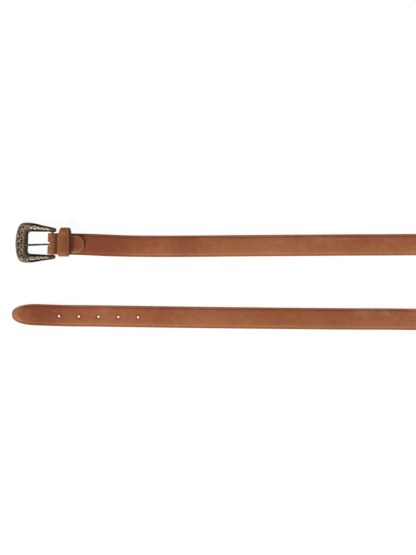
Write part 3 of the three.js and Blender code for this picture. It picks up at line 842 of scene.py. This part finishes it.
def stains_and_side_shade(line, lay):
    """How light the leather is at each point of the flat strap, from 0 for the darkest to 1: its stains, and
    painted shade towards +Y.
    """
    place = along_line(line, "place", lay[:, 0])
    side = along_line(line, "side", lay[:, 0])
    # Painted shade: darker towards +Y, away from the key light.
    tone = LEATHER_TONE + PAINTED_SIDE_SHADE * side[:, 1] * lay[:, 1] / STRAP_HALF
    for stain in STAINS:
        away = np.hypot(place[:, 0] - stain["x"], place[:, 1] - stain["y"])
        tone += stain["tone"] * bell(away, stain["reach"])
    return tone


def worn_places(line, lay, depth):
    """Where the grain is worn pale: along the tip's rim and in a few rubbed spots."""
    total = line["length"][-1]
    worn = smoothstep(total - TIP_WEAR, total - TIP_WEAR / 4, lay[:, 0]) * smoothstep(9, 2, depth)
    x, y = bend(line, lay)[:, :2].T
    for rub in RUBS:
        away = np.hypot((x - rub["x"]) / rub["along"], (y - rub["y"]) / rub["across"])
        worn = np.maximum(worn, rub["worn"] * bell(away, 1))
    return worn


def painted_flap_shadow(line, lay):
    """Painted shadow of the turned-over end on the strap: how near each point under it is to its outline,
    most on the side away from the key light.
    """
    place = bend(line, lay)
    length = line["place"][0, 0] - place[:, 0]
    from_line = place - along_line(line, "place", length)
    across = np.sum(from_line * along_line(line, "side", length), axis=1)
    beside = np.abs(across) - along_line(line, "half", length)
    outside = np.where(length < FLAP_CORNER, from_flap_corner(length, across), beside)
    near = smoothstep(FLAP_SHADOW_REACH, 0.3, outside) * (length < FLAP_SMOOTH)
    beneath = upper_run(line)[1][0] < lay[:, 0]
    return near * beneath * (0.45 + 0.55 * smoothstep(-9, 3, across))


def slot_ends(line):
    """Lengths along the strap at which the slot starts and ends."""
    x, length = line["place"][:, 0], line["length"]
    last = len(FOLD_LINE) * LINE_STEPS
    foremost = int(np.argmin(x[:last]))
    front = np.interp(-SLOT_FRONT, -x[:foremost], length[:foremost])
    back = np.interp(SLOT_BACK, x[foremost:last], length[foremost:last])
    return front, back


def make_keeper():
    rows = column(KEEPER_LOOP, "y", "z", "narrow", "aside")
    at = np.arange(len(rows) * KEEPER_STEPS) / KEEPER_STEPS
    fine = centripetal(rows, at, closed=True, measured=2)
    y, z, narrow, aside = fine.T[:, :, None]
    ahead = unit(np.roll(fine, -1, axis=0)[:, :2] - np.roll(fine, 1, axis=0)[:, :2])
    outward = np.column_stack([ahead[:, 1], -ahead[:, 0]])
    length = walked(fine[:, :2])
    half = KEEPER_HALF - narrow
    still = np.zeros(len(at))
    crease = 0.15 + 0.75 * np.clip(outward[:, 1], 0, 1) ** 3
    edge = np.column_stack([length, half])
    centre = np.column_stack([length, still])
    normal = np.column_stack([still, still + 1])
    place, height = leather_section(edge, normal, centre, still + KEEPER_THICK, crease)
    rings = whole_rings(place, height)
    lift = rings[:, :, 2]
    world_y = y + outward[:, :1] * lift
    world_z = z + outward[:, 1:] * lift
    depth_share = (world_y - rows[:, 0].min()) / (rows[:, 0].max() - rows[:, 0].min())
    askew = KEEPER_SKEW * (rows[:, 1].max() - world_z) * depth_share
    world_x = KEEPER_CENTRE + aside + rings[:, :, 1] + askew
    index = np.arange(lift.size).reshape(lift.shape)
    points = np.stack([world_x, world_y, world_z], axis=-1).reshape(-1, 3) + BAR_PLACE
    keeper = new_piece("keeper_leather", points * MM, grid_faces(index, closed=True))
    depth = half - np.abs(rings[:, :, 1])
    dress_keeper(keeper, rings.reshape(-1, 3), depth.ravel(), smoothstep(4, 15, world_y).ravel())
    finish_faces(keeper, LEATHER_SHARP)
    return keeper


def dress_keeper(keeper, lay, depth, bent):
    """Keeps what the leather's material reads, at each point of the loop laid flat."""
    write_values(
        keeper,
        lay=lay * MM,
        from_edge=depth,
        crease=smoothstep(0.2, 0.6, lay[:, 2]) * (1 - 0.6 * bent),
        flesh=smoothstep(0.3, -0.3, lay[:, 2]),
        flesh_tone=0.5,
        napped=1,
        # Painted highlight: a pale rim along the loop's edge that faces the key light.
        pale_rim=smoothstep(-4, -6, lay[:, 1]) * (1 - bent),
        # Lighter where the loop bends over the strap's edge: partly its own colour, partly painted light
        # that lifts the shade there.
        tone=0.45 + 0.5 * bent,
        yellowed=bent,
        shaded=0,
        worn=0,
        ringed=0,
        lit_side=0.3,
    )


# Buckle


def rotation(first, second, angle):
    """A turn that carries one axis towards another, both given by number."""
    turn = np.eye(3)
    turn[first, first] = turn[second, second] = math.cos(angle)
    turn[second, first] = math.sin(angle)
    turn[first, second] = -math.sin(angle)
    return turn


def finish_metal(piece):
    """Takes a piece from the buckle's own axes to where it lies, and finishes its faces."""
    turn = rotation(0, 1, FRAME_YAW) @ rotation(2, 0, FRAME_TILT)
    points = read_points(piece) / MM @ turn.T
    write_points(piece, (points + [0, FRAME_ASIDE, BAR_HEIGHT] + BAR_PLACE) * MM)
    finish_faces(piece, METAL_SHARP)
    return piece


def frame_section():
    """Places round the frame's section, as share across and share of the rise, front first."""
    dome = column(DOME, "across", "rise") * SECTION_SIZE
    front = centripetal(dome, np.linspace(0, len(dome) - 1, DOME_POINTS), measured=2)
    back = column(HOLLOW_BACK, "across", "rise") * SECTION_SIZE
    return np.vstack([even_points(front, FRONT_POINTS), even_points(back, BACK_POINTS)[1:-1]]) / SECTION_SIZE


def towards(degrees):
    """The unit vector of a heading in plan."""
    angle = np.radians(degrees)
    return np.stack([np.cos(angle), np.sin(angle)], axis=-1)


def in_axes(plan, spot, heading):
    """Distances of points from a spot, along a heading and to the left of it."""
    offset = plan - [spot["x"], spot["y"]]
    ahead = towards(heading)
    return offset @ ahead, offset @ [-ahead[1], ahead[0]]


def spiral_points(scroll):
    share = np.linspace(0, 1, SCROLL_POINTS)
    heading = scroll["start"] + scroll["hand"] * 360 * scroll["turns"] * share
    reach = scroll["radius"] * (1 - (1 - SCROLL_INNER) * share)
    return [scroll["x"], scroll["y"]] + reach[:, None] * towards(heading), share


def spiral_height(plan, scroll):
    """Height of a scroll's ridge over each point in plan, with the pit at its middle."""
    points, share = spiral_points(scroll)
    away = np.linalg.norm(plan[:, None] - points[None], axis=2)
    share = share[away.argmin(axis=1)]
    width = SCROLL_WIRE * (0.75 + 0.5 * share)
    ridge = ridge_height(away.min(axis=1) / width) * SCROLL_RAISE * (0.7 + 0.3 * share)
    from_middle = np.linalg.norm(plan - [scroll["x"], scroll["y"]], axis=1)
    return ridge - PIT_DEPTH * bell(from_middle, PIT_REACH)


def ridge_height(away):
    """A rounded ridge's height, from 1 on its line to 0 at a distance of 1."""
    return np.sqrt(np.clip(1 - away**2, 0, 1))


def leaf_height(plan, leaf, bow):
    """Height of a leaf with a vein, widest halfway along and bowed to one side."""
    along, across = in_axes(plan, leaf, leaf["heading"])
    along = along / (leaf["length"] / 2)
    across = across - bow * (along**2 - 0.4)
    width = leaf["width"] * np.sqrt(np.clip(np.cos(np.clip(along, -1, 1) * np.pi / 2), 0, 1))
    body = ridge_height(across / np.maximum(width, 1e-6)) * (np.abs(along) < 1)
    vein = 0.4 * bell(across, VEIN_REACH) * (np.abs(along) < 0.8)
    return LEAF_RAISE * body * (1 - vein) * np.clip(1.15 - along**2 * 0.6, 0, 1)


def frond_rows():
    """Small leaves that spring from the outside of each scroll."""
    rows = []
    for scroll in SCROLLS:
        for k in range(FRONDS):
            angle = scroll["start"] + scroll["hand"] * (20 + 300 * k / FRONDS)
            x, y = [scroll["x"], scroll["y"]] + (scroll["radius"] + FROND_GAP) * towards(angle)
            rows.append({"x": x, "y": y, "heading": angle + scroll["hand"] * FROND_TURN, **FROND})
    return rows


def swell_lines():
    """Start, direction and length of the broad ridge along each arm."""
    for hand in ([1, 1], [1, -1]):
        start = SWELL_START * hand
        ahead = SWELL_END * hand - start
        total = np.linalg.norm(ahead)
        yield start, ahead / total, total


def sprig_rows():
    """Small leaves in pairs along each swell, pointed back towards the bar."""
    rows = []
    for start, ahead, total in swell_lines():
        heading = math.degrees(math.atan2(ahead[1], ahead[0]))
        left = np.array([-ahead[1], ahead[0]])
        for k in range(int(total / SPRIG_PITCH)):
            side = 1 if k % 2 else -1
            aside = side * (1 - 0.5 * k * SPRIG_PITCH / total)
            x, y = start + ahead * (k + 0.5) * SPRIG_PITCH + left * aside
            rows.append({"x": x, "y": y, "heading": heading + side * SPRIG_TURN, **SPRIG})
    return rows


def swell_height(plan, start, ahead, total):
    """Height of a broad ridge that fades out at both ends."""
    along = (plan - start) @ ahead / total
    aside = (plan - start) @ [-ahead[1], ahead[0]]
    ends = smoothstep(-0.1, 0.1, along) * smoothstep(1.06, 0.85, along)
    return (SWELL_RAISE + GROUND_DEPTH) * np.exp(-((aside / SWELL_REACH) ** 4)) * ends


def pit_share(plan, pit, heading, reach):
    """How deep in an oval pit each point is, from 0 outside it to 1 in its middle."""
    along, aside = in_axes(plan, pit, heading)
    return bell(np.hypot(along / PIT_STRETCH, aside * PIT_STRETCH), reach)


def relief_height(plan):
    """Height of the cast relief over the plain dome."""
    height = np.full(len(plan), -GROUND_DEPTH)
    for swell in swell_lines():
        height += swell_height(plan, *swell)
    ground = height + GROUND_DEPTH
    for scroll in SCROLLS:
        part = spiral_height(plan, scroll)
        height = np.where(part > PROUD, np.maximum(height, part), np.minimum(height, height + part))
    for i, leaf in enumerate(LEAVES):
        part = leaf_height(plan, leaf, bow=0.35 if i % 2 else -0.35)
        height = np.maximum(height, np.where(part > PROUD, part + 0.5 * ground, height))
    for leaf in frond_rows():
        height = np.maximum(height, 0.75 * leaf_height(plan, leaf, bow=0.2))
    for leaf in sprig_rows():
        part = 0.8 * leaf_height(plan, leaf, bow=0.25)
        height = np.maximum(height, np.where(part > PROUD, part + 0.7 * ground, height))
    pits = [(pit, pit["heading"], PIT_REACH) for pit in PITS]
    pits += [(scroll, scroll["start"] / 2, EYE_REACH) for scroll in SCROLLS]
    for pit in pits:
        height -= (PIT_DEPTH + np.maximum(height, 0)) * pit_share(plan, *pit)
    return height


def spread(values, rounds):
    """Averages a grid of values with their neighbours, rounds times."""
    for _ in range(rounds):
        for axis in (0, 1):
            values = (values + np.roll(values, 1, axis) + np.roll(values, -1, axis)) / 3
    return values


def brass_zones(plan, across, arm, height, is_front):
    """What the brass's material reads: the relief, and how dark or bright each zone of the section is, with
    painted shade along the frame's edges and over its inner bevel.
    """
    # Painted shade: dark bands along the arms' outer and inner edges and the bar's outer edge, and over the
    # inner bevel.
    arm_bands = smoothstep(0.34, 0.2, across) + smoothstep(0.66, 0.78, across)
    bar_band = 0.45 * smoothstep(0.1, 0.04, across)
    from_corner = np.linalg.norm(plan - DULL_CORNER, axis=2)
    return {
        "height": height,
        "hollow": spread(height, SPREAD_ROUNDS) - height,
        "dark_band": arm * arm_bands + (1 - arm) * bar_band,
        "bevel": (1 - 0.7 * arm) * smoothstep(0.7, 0.84, across) * is_front,
        "lip": (1 - arm) * bell(across - 0.09, 0.02) * is_front,
        "dulled": 0.2 * arm + 0.45 * bell(from_corner, DULL_REACH),
    }


def make_buckle():
    half_rows = column(FRAME_SECTIONS, "outX", "outY", "back", "inX", "inY", "crown")
    rows = np.vstack([half_rows, half_rows[-2::-1] * [1, -1, 1, 1, -1, 1]])
    at = np.linspace(0, len(rows) - 1, (len(rows) - 1) * FRAME_STEPS + 1)
    outer = centripetal(rows[:, :3], at)[:, None]
    inner = centripetal(rows[:, 3:], at)[:, None]
    across, rise = frame_section().T
    is_front = np.arange(len(across)) < FRONT_POINTS
    near_end = np.minimum(at, at[-1] - at)[:, None]
    rise = rise * np.where(is_front, 1, smoothstep(0.8, 1.6, near_end))
    plan = outer[..., :2] * (1 - across[:, None]) + inner[..., :2] * across[:, None]
    level = outer[..., 2] * (1 - rise) + inner[..., 2] * rise
    arm = smoothstep(-33, -20, outer[..., 0])
    faded = smoothstep(0.02, 0.09, across) * smoothstep(0.76, 0.68, across - 0.1 * arm) * is_front
    height = relief_height(plan.reshape(-1, 2)).reshape(level.shape) * faded * smoothstep(0.3, 1.2, near_end)
    lump = ripple(np.dstack([plan, level]).reshape(-1, 3), LUMP_SIZE, LUMP_SEED).reshape(level.shape)
    level = level + height + LUMP_HEIGHT * lump * faded
    rings = round_ends(np.dstack([plan, level]))
    buckle = capped("buckle_brass", rings)
    pad = (len(rings) - len(at)) // 2
    zones = brass_zones(plan, across, arm, height, is_front)
    for name, values in zones.items():
        grid = np.pad(np.broadcast_to(values, level.shape), ((pad, pad), (0, 0)), mode="edge")
        zones[name] = np.append(grid, [0, 0])
    write_values(buckle, **zones)
    bar = rod_rings(np.array([[0, -BAR_HALF, 0], [0, BAR_HALF, 0]]), [BAR_RADIUS] * 2, BAR_SIDES)
    combine(buckle, capped("bar", bar), "UNION")
    combine(buckle, notch_cutter(), "DIFFERENCE")
    return finish_metal(buckle)


def round_ends(rings):
    """Adds rings that close the two ends of a loft in a low dome."""
    extra = []
    for ring, next_ring in ((rings[0], rings[1]), (rings[-1], rings[-2])):
        middle = ring.mean(axis=0)
        out = unit(middle - next_ring.mean(axis=0)) * END_ROUND
        extra.append([middle + (ring - middle) * math.cos(a) + out * math.sin(a) for a in END_ANGLES])
    return np.concatenate([extra[0], rings, extra[1][::-1]])


def notch_cutter():
    """The seat of the tongue's point, cut a little wider and longer than the tongue."""
    ahead = unit(TONGUE_TIP - TONGUE_ROOT)
    points = np.array([TONGUE_ROOT + ahead * NOTCH_START, TONGUE_TIP + ahead * NOTCH_CLEARANCE])
    return capped("notch", rod_rings(points, [TONGUE_RADIUS + NOTCH_CLEARANCE] * 2, BAR_SIDES))


def make_tongue():
    stops = column(TONGUE_THINNING, "share", "radius")
    rounded = 1 - TONGUE_ROUND * np.cos(np.linspace(0, np.pi / 2, TONGUE_END_RINGS))[1:]
    share = np.concatenate([np.linspace(0, 1 - TONGUE_ROUND, TONGUE_RINGS), rounded])
    radii = np.interp(share, *stops.T) * TONGUE_RADIUS
    points = TONGUE_ROOT + (TONGUE_TIP - TONGUE_ROOT) * share[:, None]
    tongue = capped("tongue_wire", rod_rings(points, radii, TONGUE_SIDES))
    turn = np.linspace(0, 2 * np.pi, EYE_RINGS, endpoint=False)[:, None]
    wire = np.linspace(0, 2 * np.pi, EYE_SIDES, endpoint=False)
    reach = EYE_RADIUS + EYE_WIRE * np.cos(wire)
    aside = TONGUE_ROOT[1] + EYE_WIRE * np.sin(wire) + 0 * turn
    eye = np.dstack([reach * np.cos(turn), aside, reach * np.sin(turn)])
    index = np.arange(aside.size).reshape(aside.shape)
    combine(tongue, new_piece("eye", eye.reshape(-1, 3) * MM, grid_faces(index, closed=True)), "UNION")
    return finish_metal(tongue)


# Materials


class Nodes:
    """Short names for making a material's nodes."""

    def __init__(self, name):
        self.material = bpy.data.materials.new(name)
        self.material.use_nodes = True
        self.tree = self.material.node_tree
        self.shader = self.tree.nodes["Principled BSDF"]

    def link(self, value, socket):
        if isinstance(value, bpy.types.NodeSocket):
            self.tree.links.new(value, socket)
        else:
            socket.default_value = value

    def add(self, kind, inputs, output, **fields):
        """Adds a node with its inputs set or linked, and gives one of its outputs."""
        node = self.tree.nodes.new(kind)
        for field, value in fields.items():
            setattr(node, field, value)
        for socket, value in inputs.items():
            self.link(value, node.inputs[socket])
        return node.outputs[output]

    def attribute(self, name, output="Fac"):
        return self.add("ShaderNodeAttribute", {}, output, attribute_name=name)

    def place(self):
        return self.add("ShaderNodeTexCoord", {}, "Object")

    def reckon(self, operation, a, b=0.0, clamp=False):
        return self.add("ShaderNodeMath", {0: a, 1: b}, 0, operation=operation, use_clamp=clamp)

    times = partialmethod(reckon, "MULTIPLY")
    plus = partialmethod(reckon, "ADD")
    minus = partialmethod(reckon, "SUBTRACT")
    most = partialmethod(reckon, "MAXIMUM")

    def apart(self, a, b):
        return self.reckon("ABSOLUTE", self.minus(a, b))

    def ranged(self, value, low, high, to_low=0.0, to_high=1.0):
        inputs = {"Value": value, "From Min": low, "From Max": high, "To Min": to_low, "To Max": to_high}
        return self.add("ShaderNodeMapRange", inputs, "Result", interpolation_type="SMOOTHSTEP")

    def stretched(self, vector, scale):
        return self.add("ShaderNodeMapping", {"Vector": vector, "Scale": scale}, "Vector")

    def noise(self, vector, scale, detail=3.0, roughness=0.55):
        inputs = {"Vector": vector, "Scale": scale, "Detail": detail, "Roughness": roughness}
        return self.add("ShaderNodeTexNoise", inputs, "Fac")

    def cells(self, vector, scale, feature="F1"):
        inputs = {"Vector": vector, "Scale": scale}
        return self.add("ShaderNodeTexVoronoi", inputs, "Distance", feature=feature)

    def mix(self, share, a, b, blend="MIX"):
        a, b = (end if isinstance(end, bpy.types.NodeSocket) else (*end, 1) for end in (a, b))
        return self.add("ShaderNodeMix", {0: share, 6: a, 7: b}, 2, data_type="RGBA", blend_type=blend)

    def bump(self, height, distance, strength):
        inputs = {"Strength": strength, "Distance": distance, "Height": height}
        return self.add("ShaderNodeBump", inputs, "Normal")

    def finish(self, color, roughness, normal, metallic=0.0, specular=0.5):
        inputs = {"Base Color": color, "Roughness": roughness, "Normal": normal, "Metallic": metallic}
        for socket, value in inputs.items():
            self.link(value, self.shader.inputs[socket])
        self.shader.inputs["Specular IOR Level"].default_value = specular
        return self.material


def scaled(tone, share):
    return tuple(share * part for part in tone)


def grain_color(n, lay, fine, wrinkles, tones):
    """The grain side: blotches of three tones, a wandering hue, a yellowed part, streaks and wrinkles."""
    dark, middle, light = tones
    mottle = n.noise(lay, 130.0, detail=4, roughness=0.6)
    streaks = n.noise(n.stretched(lay, (60, 700, 200)), 1.0, detail=2)
    hue = n.noise(n.stretched(lay, (48, 170, 48)), 1.0, detail=4)
    tone = n.plus(n.attribute("tone"), n.times(n.minus(mottle, 0.5), 0.9))
    color = n.mix(n.times(tone, 2.0, clamp=True), dark, middle)
    color = n.mix(n.times(n.minus(tone, 0.5), 2.0, clamp=True), color, light)
    color = n.mix(n.ranged(hue, 0.45, 0.66), color, (1.0, 1.07, 0.88), blend="MULTIPLY")
    color = n.mix(n.ranged(hue, 0.52, 0.36), color, (1.02, 0.93, 1.04), blend="MULTIPLY")
    yellowed = n.attribute("yellowed")
    pebbled = n.times(yellowed, n.ranged(n.noise(lay, PEBBLE_SCALE), 0.42, 0.6))
    color = n.mix(yellowed, color, (0.8, 0.86, 0.66), blend="MULTIPLY")
    color = n.mix(pebbled, color, (1.42, 1.5, 1.3), blend="MULTIPLY")
    color = n.mix(n.ranged(streaks, 0.5, 0.8, 0, 0.2), color, dark)
    color = n.mix(n.ranged(fine, 0.5, 0.85, 0, 0.2), color, light)
    return n.mix(n.ranged(wrinkles, 0.12, 0.0, 0, 0.2), color, dark)


def marked_color(n, lay, nap, lit_crease, unlit, color, dark, pale):
    """Adds the pressed border line with painted shade in it, most on the side away from the key light, a
    painted highlight beside it on the lit side, scuffs, rubs, painted shade round the holes and a thin line
    of painted shade inside the lit edge.
    """
    depth = n.attribute("from_edge")
    from_crease = n.apart(depth, CREASE_PLACE)
    # Painted shade in the border line, most on the side away from the key light, and a painted highlight
    # beside it on the lit side.
    in_crease = n.times(n.times(n.ranged(from_crease, 0.75, 0.1), n.attribute("crease")), unlit)
    beside = n.times(n.ranged(from_crease, 1.5, 0.4), lit_crease)
    beside = n.times(beside, n.ranged(n.attribute("tone"), 0.1, 0.8, 0.08, 0.5))
    color = n.mix(beside, color, pale)
    color = n.mix(n.times(in_crease, 0.75), color, scaled(dark, 0.42))
    scuffs = n.noise(n.stretched(lay, (55, 330, 55)), 1.0, detail=5, roughness=0.7)
    color = n.mix(n.ranged(scuffs, 0.57, 0.75, 0, 0.5), color, pale)
    color = n.mix(n.times(n.attribute("worn"), n.ranged(nap, 0.3, 0.6, 0.35, 0.75)), color, pale)
    # Painted shade round each punched hole.
    hole_shade_tone = (0.6 * dark[0], 0.4 * dark[1], 0.4 * dark[2])
    color = n.mix(n.times(n.attribute("ringed"), 0.8), color, hole_shade_tone)
    # Painted shade: a thin dark line inside the edge on the lit side.
    under_rim = n.times(n.ranged(n.apart(depth, UNDER_RIM), 0.5, 0.1), lit_crease)
    return n.mix(n.times(under_rim, 0.55), color, scaled(dark, 0.6))


def flesh_color(n, nap, cloudy, tones):
    """The flesh side: nap between two tones, with cloudy darker places."""
    dark, light = tones
    uneven = n.times(n.minus(n.ranged(nap, 0.36, 0.64), 0.5), n.attribute("napped"))
    color = n.mix(n.plus(uneven, n.attribute("flesh_tone"), clamp=True), dark, light)
    return n.mix(n.ranged(cloudy, 0.4, 0.7, 0, 0.3), color, dark)


def rim_color(n, nap, unlit_edge_light, color, edge_tone, pale):
    """Adds the rubbed cut edge, painted paler on the side away from the key light to lift its shade, and the
    pale rim of the turned-over end and the tip.
    """
    depth = n.attribute("from_edge")
    rim = n.times(n.ranged(depth, 0.75, 0.2), n.ranged(nap, 0.2, 0.7, 0.5, 0.9))
    # Painted light: the cut edge is paler on the side away from the key light.
    color = n.mix(rim, color, n.mix(unlit_edge_light, edge_tone, scaled(pale, 1.15)))
    pale_rim = n.times(n.ranged(depth, 1.3, 0.7), n.attribute("pale_rim"))
    return n.mix(n.times(pale_rim, n.ranged(nap, 0.2, 0.7, 0.5, 1.0)), color, pale)


def leather_normal(n, lay, flesh, fine, nap, wrinkles):
    """Wrinkles and pores on the grain side, nap and pebbles on the flesh side."""
    pores = n.cells(lay, 1500.0)
    grain = n.plus(n.times(n.ranged(wrinkles, 0.0, 0.2), 0.6), n.times(fine, 0.5))
    grain = n.minus(grain, n.times(n.ranged(pores, 0.35, 0.1), 0.3))
    rough = n.plus(n.times(nap, 1.6), n.times(n.cells(lay, PEBBLE_SCALE), 0.9))
    height = n.add("ShaderNodeMix", {0: flesh, 2: grain, 3: rough}, 0, data_type="FLOAT")
    return n.bump(height, 0.0001, strength=0.6)


def oiled_leather(name, grain_tones, flesh_tones, edge_tone, rim_tone):
    """Oiled leather: a grained side with pressed border lines, a napped flesh side and a rubbed cut edge,
    with painted highlight and shade by the side that faces the key light.
    """
    n = Nodes(name)
    lay = n.attribute("lay", "Vector")
    flesh = n.attribute("flesh")
    crease = n.attribute("crease")
    lit_side = n.attribute("lit_side")
    cloudy = n.noise(n.stretched(lay, (70, 110, 70)), 1.0, detail=4)
    fine = n.noise(lay, 900.0, detail=4)
    nap = n.noise(lay, PEBBLE_SCALE, detail=4, roughness=0.6)
    wrinkles = n.cells(n.stretched(lay, (1.0, 0.7, 1.0)), 980.0, feature="DISTANCE_TO_EDGE")
    unlit = n.minus(1.0, n.times(lit_side, 0.7))
    dark = grain_tones[0]
    color = grain_color(n, lay, fine, wrinkles, grain_tones)
    color = marked_color(n, lay, nap, n.times(crease, lit_side), unlit, color, dark, rim_tone)
    color = n.mix(flesh, color, flesh_color(n, nap, cloudy, flesh_tones))
    color = rim_color(n, nap, n.times(unlit, crease), color, edge_tone, rim_tone)
    # Painted shadow of the turned-over end on the strap beside it.
    color = n.mix(n.attribute("shaded"), color, scaled(dark, 0.2))
    roughness = n.plus(n.ranged(cloudy, 0.3, 0.7, 0.5, 0.64), n.times(flesh, 0.2), clamp=True)
    normal = leather_normal(n, lay, flesh, fine, nap, wrinkles)
    return n.finish(color, roughness, normal, specular=0.25)


def old_brass(name, bright_tone, middle_tone, brown_tone, bevel_tone, dark_tone):
    """Cast brass with a dark patina in its hollows that is rubbed away where the relief stands proud, and
    painted shade along the frame's edges and over its inner bevel.
    """
    n = Nodes(name)
    place = n.place()
    height = n.attribute("height")
    dark_band = n.attribute("dark_band")
    dulled = n.attribute("dulled")
    stain = n.noise(place, 330.0, detail=4)
    fine = n.noise(place, 1900.0, detail=3)
    uneven = n.minus(stain, 0.5)
    uneven_height = n.plus(height, n.times(uneven, 0.5))
    pitted = n.ranged(height, -0.11, -0.2)
    lined = n.ranged(n.plus(n.attribute("hollow"), n.times(uneven, 0.12)), 0.0, 0.1)
    # The dark bands are painted shade; the pits and the lines beside the relief are patina.
    banded = n.ranged(n.plus(dark_band, n.times(uneven, 1.6)), 0.2, 0.75)
    banded = n.times(banded, n.ranged(dark_band, 0.0, 0.2))
    patina_and_shade = n.most(n.most(pitted, n.times(lined, 0.8)), banded)
    rubbed = n.times(n.ranged(uneven_height, 0.22, 0.62), n.minus(1.0, dulled))
    color = n.mix(n.ranged(uneven_height, -0.16, 0.2), brown_tone, middle_tone)
    color = n.mix(dulled, color, brown_tone)
    # Painted shade over the inner bevel.
    color = n.mix(n.attribute("bevel"), color, bevel_tone)
    color = n.mix(patina_and_shade, color, n.mix(n.ranged(fine, 0.5, 0.8, 0, 0.45), dark_tone, brown_tone))
    color = n.mix(n.most(rubbed, n.times(n.attribute("lip"), 0.3)), color, bright_tone)
    roughness = n.most(n.ranged(rubbed, 0.0, 1.0, 0.58, 0.45), n.times(patina_and_shade, 0.85))
    metallic = n.times(n.ranged(rubbed, 0.0, 1.0, 0.4, 0.7), n.minus(1.0, patina_and_shade, clamp=True))
    normal = n.bump(n.plus(fine, n.times(stain, 0.5)), 0.00008, strength=0.6)
    return n.finish(color, roughness, normal, metallic, specular=0.05)


def dark_wire(name, bright_tone, dark_tone):
    """Drawn wire, tarnished dark, with fine scratches along it."""
    n = Nodes(name)
    place = n.place()
    stain = n.noise(place, 320.0, detail=4)
    scratches = n.noise(n.stretched(place, (120, 2600, 2600)), 1.0, detail=2)
    color = n.mix(n.ranged(stain, 0.35, 0.7), dark_tone, bright_tone)
    color = n.mix(n.ranged(scratches, 0.55, 0.8, 0, 0.4), color, bright_tone)
    roughness = n.ranged(stain, 0.3, 0.7, 0.46, 0.32)
    return n.finish(color, roughness, n.bump(scratches, 0.00004, strength=0.5), 1.0)


def pale_floor(name, glow):
    """A white surface that glows a little, as a lit table does, so that shadows on it stay faint."""
    n = Nodes(name)
    speck = n.noise(n.place(), 30.0)
    color = n.mix(n.ranged(speck, 0.3, 0.7), (0.1, 0.1, 0.1), (0.11, 0.11, 0.11))
    n.shader.inputs["Emission Color"].default_value = (1, 1, 1, 1)
    n.shader.inputs["Emission Strength"].default_value = glow
    return n.finish(color, 0.8, n.bump(speck, 0.0001, strength=0.1))


# Stage


def add_floor():
    corners = np.array([[-1, -1, 0], [1, -1, 0], [1, 1, 0], [-1, 1, 0]]) * FLOOR_HALF
    floor = new_piece("floor", corners - [0, 0, FLOOR_DROP], [[0, 1, 2, 3]])
    floor.data.materials.append(pale_floor("pale_floor", glow=0.92))


def add_object(name, data, place):
    thing = bpy.data.objects.new(name, data)
    bpy.context.scene.collection.objects.link(thing)
    thing.location = place
    return thing


def add_light(name, place, size, power):
    light = bpy.data.lights.new(name, "AREA")
    light.shape = "DISK"
    light.size = size
    light.energy = power
    lamp = add_object(name, light, place)
    lamp.rotation_euler = (Vector(LIGHT_TARGET) - Vector(place)).to_track_quat("-Z", "Y").to_euler()


def add_world(level):
    world = bpy.data.worlds.new("studio")
    bpy.context.scene.world = world
    world.use_nodes = True
    background = world.node_tree.nodes["Background"]
    background.inputs["Color"].default_value = (1, 1, 1, 1)
    background.inputs["Strength"].default_value = level


def add_camera():
    data = bpy.data.cameras.new("camera")
    data.sensor_width = SENSOR
    data.lens = SENSOR * CAMERA_HEIGHT / PHOTO_HEIGHT
    data.clip_end = 100
    bpy.context.scene.camera = add_object("camera", data, CAMERA_PLACE)


def place_piece(piece, material, body, node):
    piece.data.materials.clear()
    piece.data.materials.append(material)
    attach(piece, body)
    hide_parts(node)


bpy.context.scene.view_settings.view_transform = "Standard"
add_camera()
add_floor()
add_world(0.32)
add_light("key", place=(-3.0, -3.4, 2.7), size=2.0, power=250)
add_light("fill", place=(0.6, 1.2, 2.4), size=1.4, power=8)

STRAP_LEATHER = oiled_leather(
    "strap_leather",
    grain_tones=((0.26, 0.063, 0.024), (0.335, 0.099, 0.038), (0.42, 0.147, 0.06)),
    flesh_tones=((0.26, 0.068, 0.027), (0.39, 0.147, 0.062)),
    edge_tone=(0.36, 0.17, 0.075),
    rim_tone=(0.48, 0.25, 0.115),
)
KEEPER_LEATHER = oiled_leather(
    "keeper_leather",
    grain_tones=((0.23, 0.06, 0.023), (0.275, 0.083, 0.031), (0.4, 0.145, 0.06)),
    flesh_tones=((0.2, 0.07, 0.026), (0.32, 0.13, 0.055)),
    edge_tone=(0.32, 0.13, 0.055),
    rim_tone=(0.38, 0.19, 0.11),
)
BUCKLE_BRASS = old_brass(
    "old_brass",
    bright_tone=(0.68, 0.55, 0.38),
    middle_tone=(0.31, 0.235, 0.15),
    brown_tone=(0.09, 0.065, 0.043),
    bevel_tone=(0.11, 0.066, 0.042),
    dark_tone=(0.018, 0.012, 0.008),
)
TONGUE_WIRE = dark_wire("dark_wire", bright_tone=(0.3, 0.25, 0.18), dark_tone=(0.1, 0.08, 0.06))

place_piece(make_strap(), STRAP_LEATHER, "leather", "strap")
place_piece(make_keeper(), KEEPER_LEATHER, "leather", "keeper")
place_piece(make_buckle(), BUCKLE_BRASS, "buckle", "buckle_frame")
place_piece(make_tongue(), TONGUE_WIRE, "prong", "tongue")
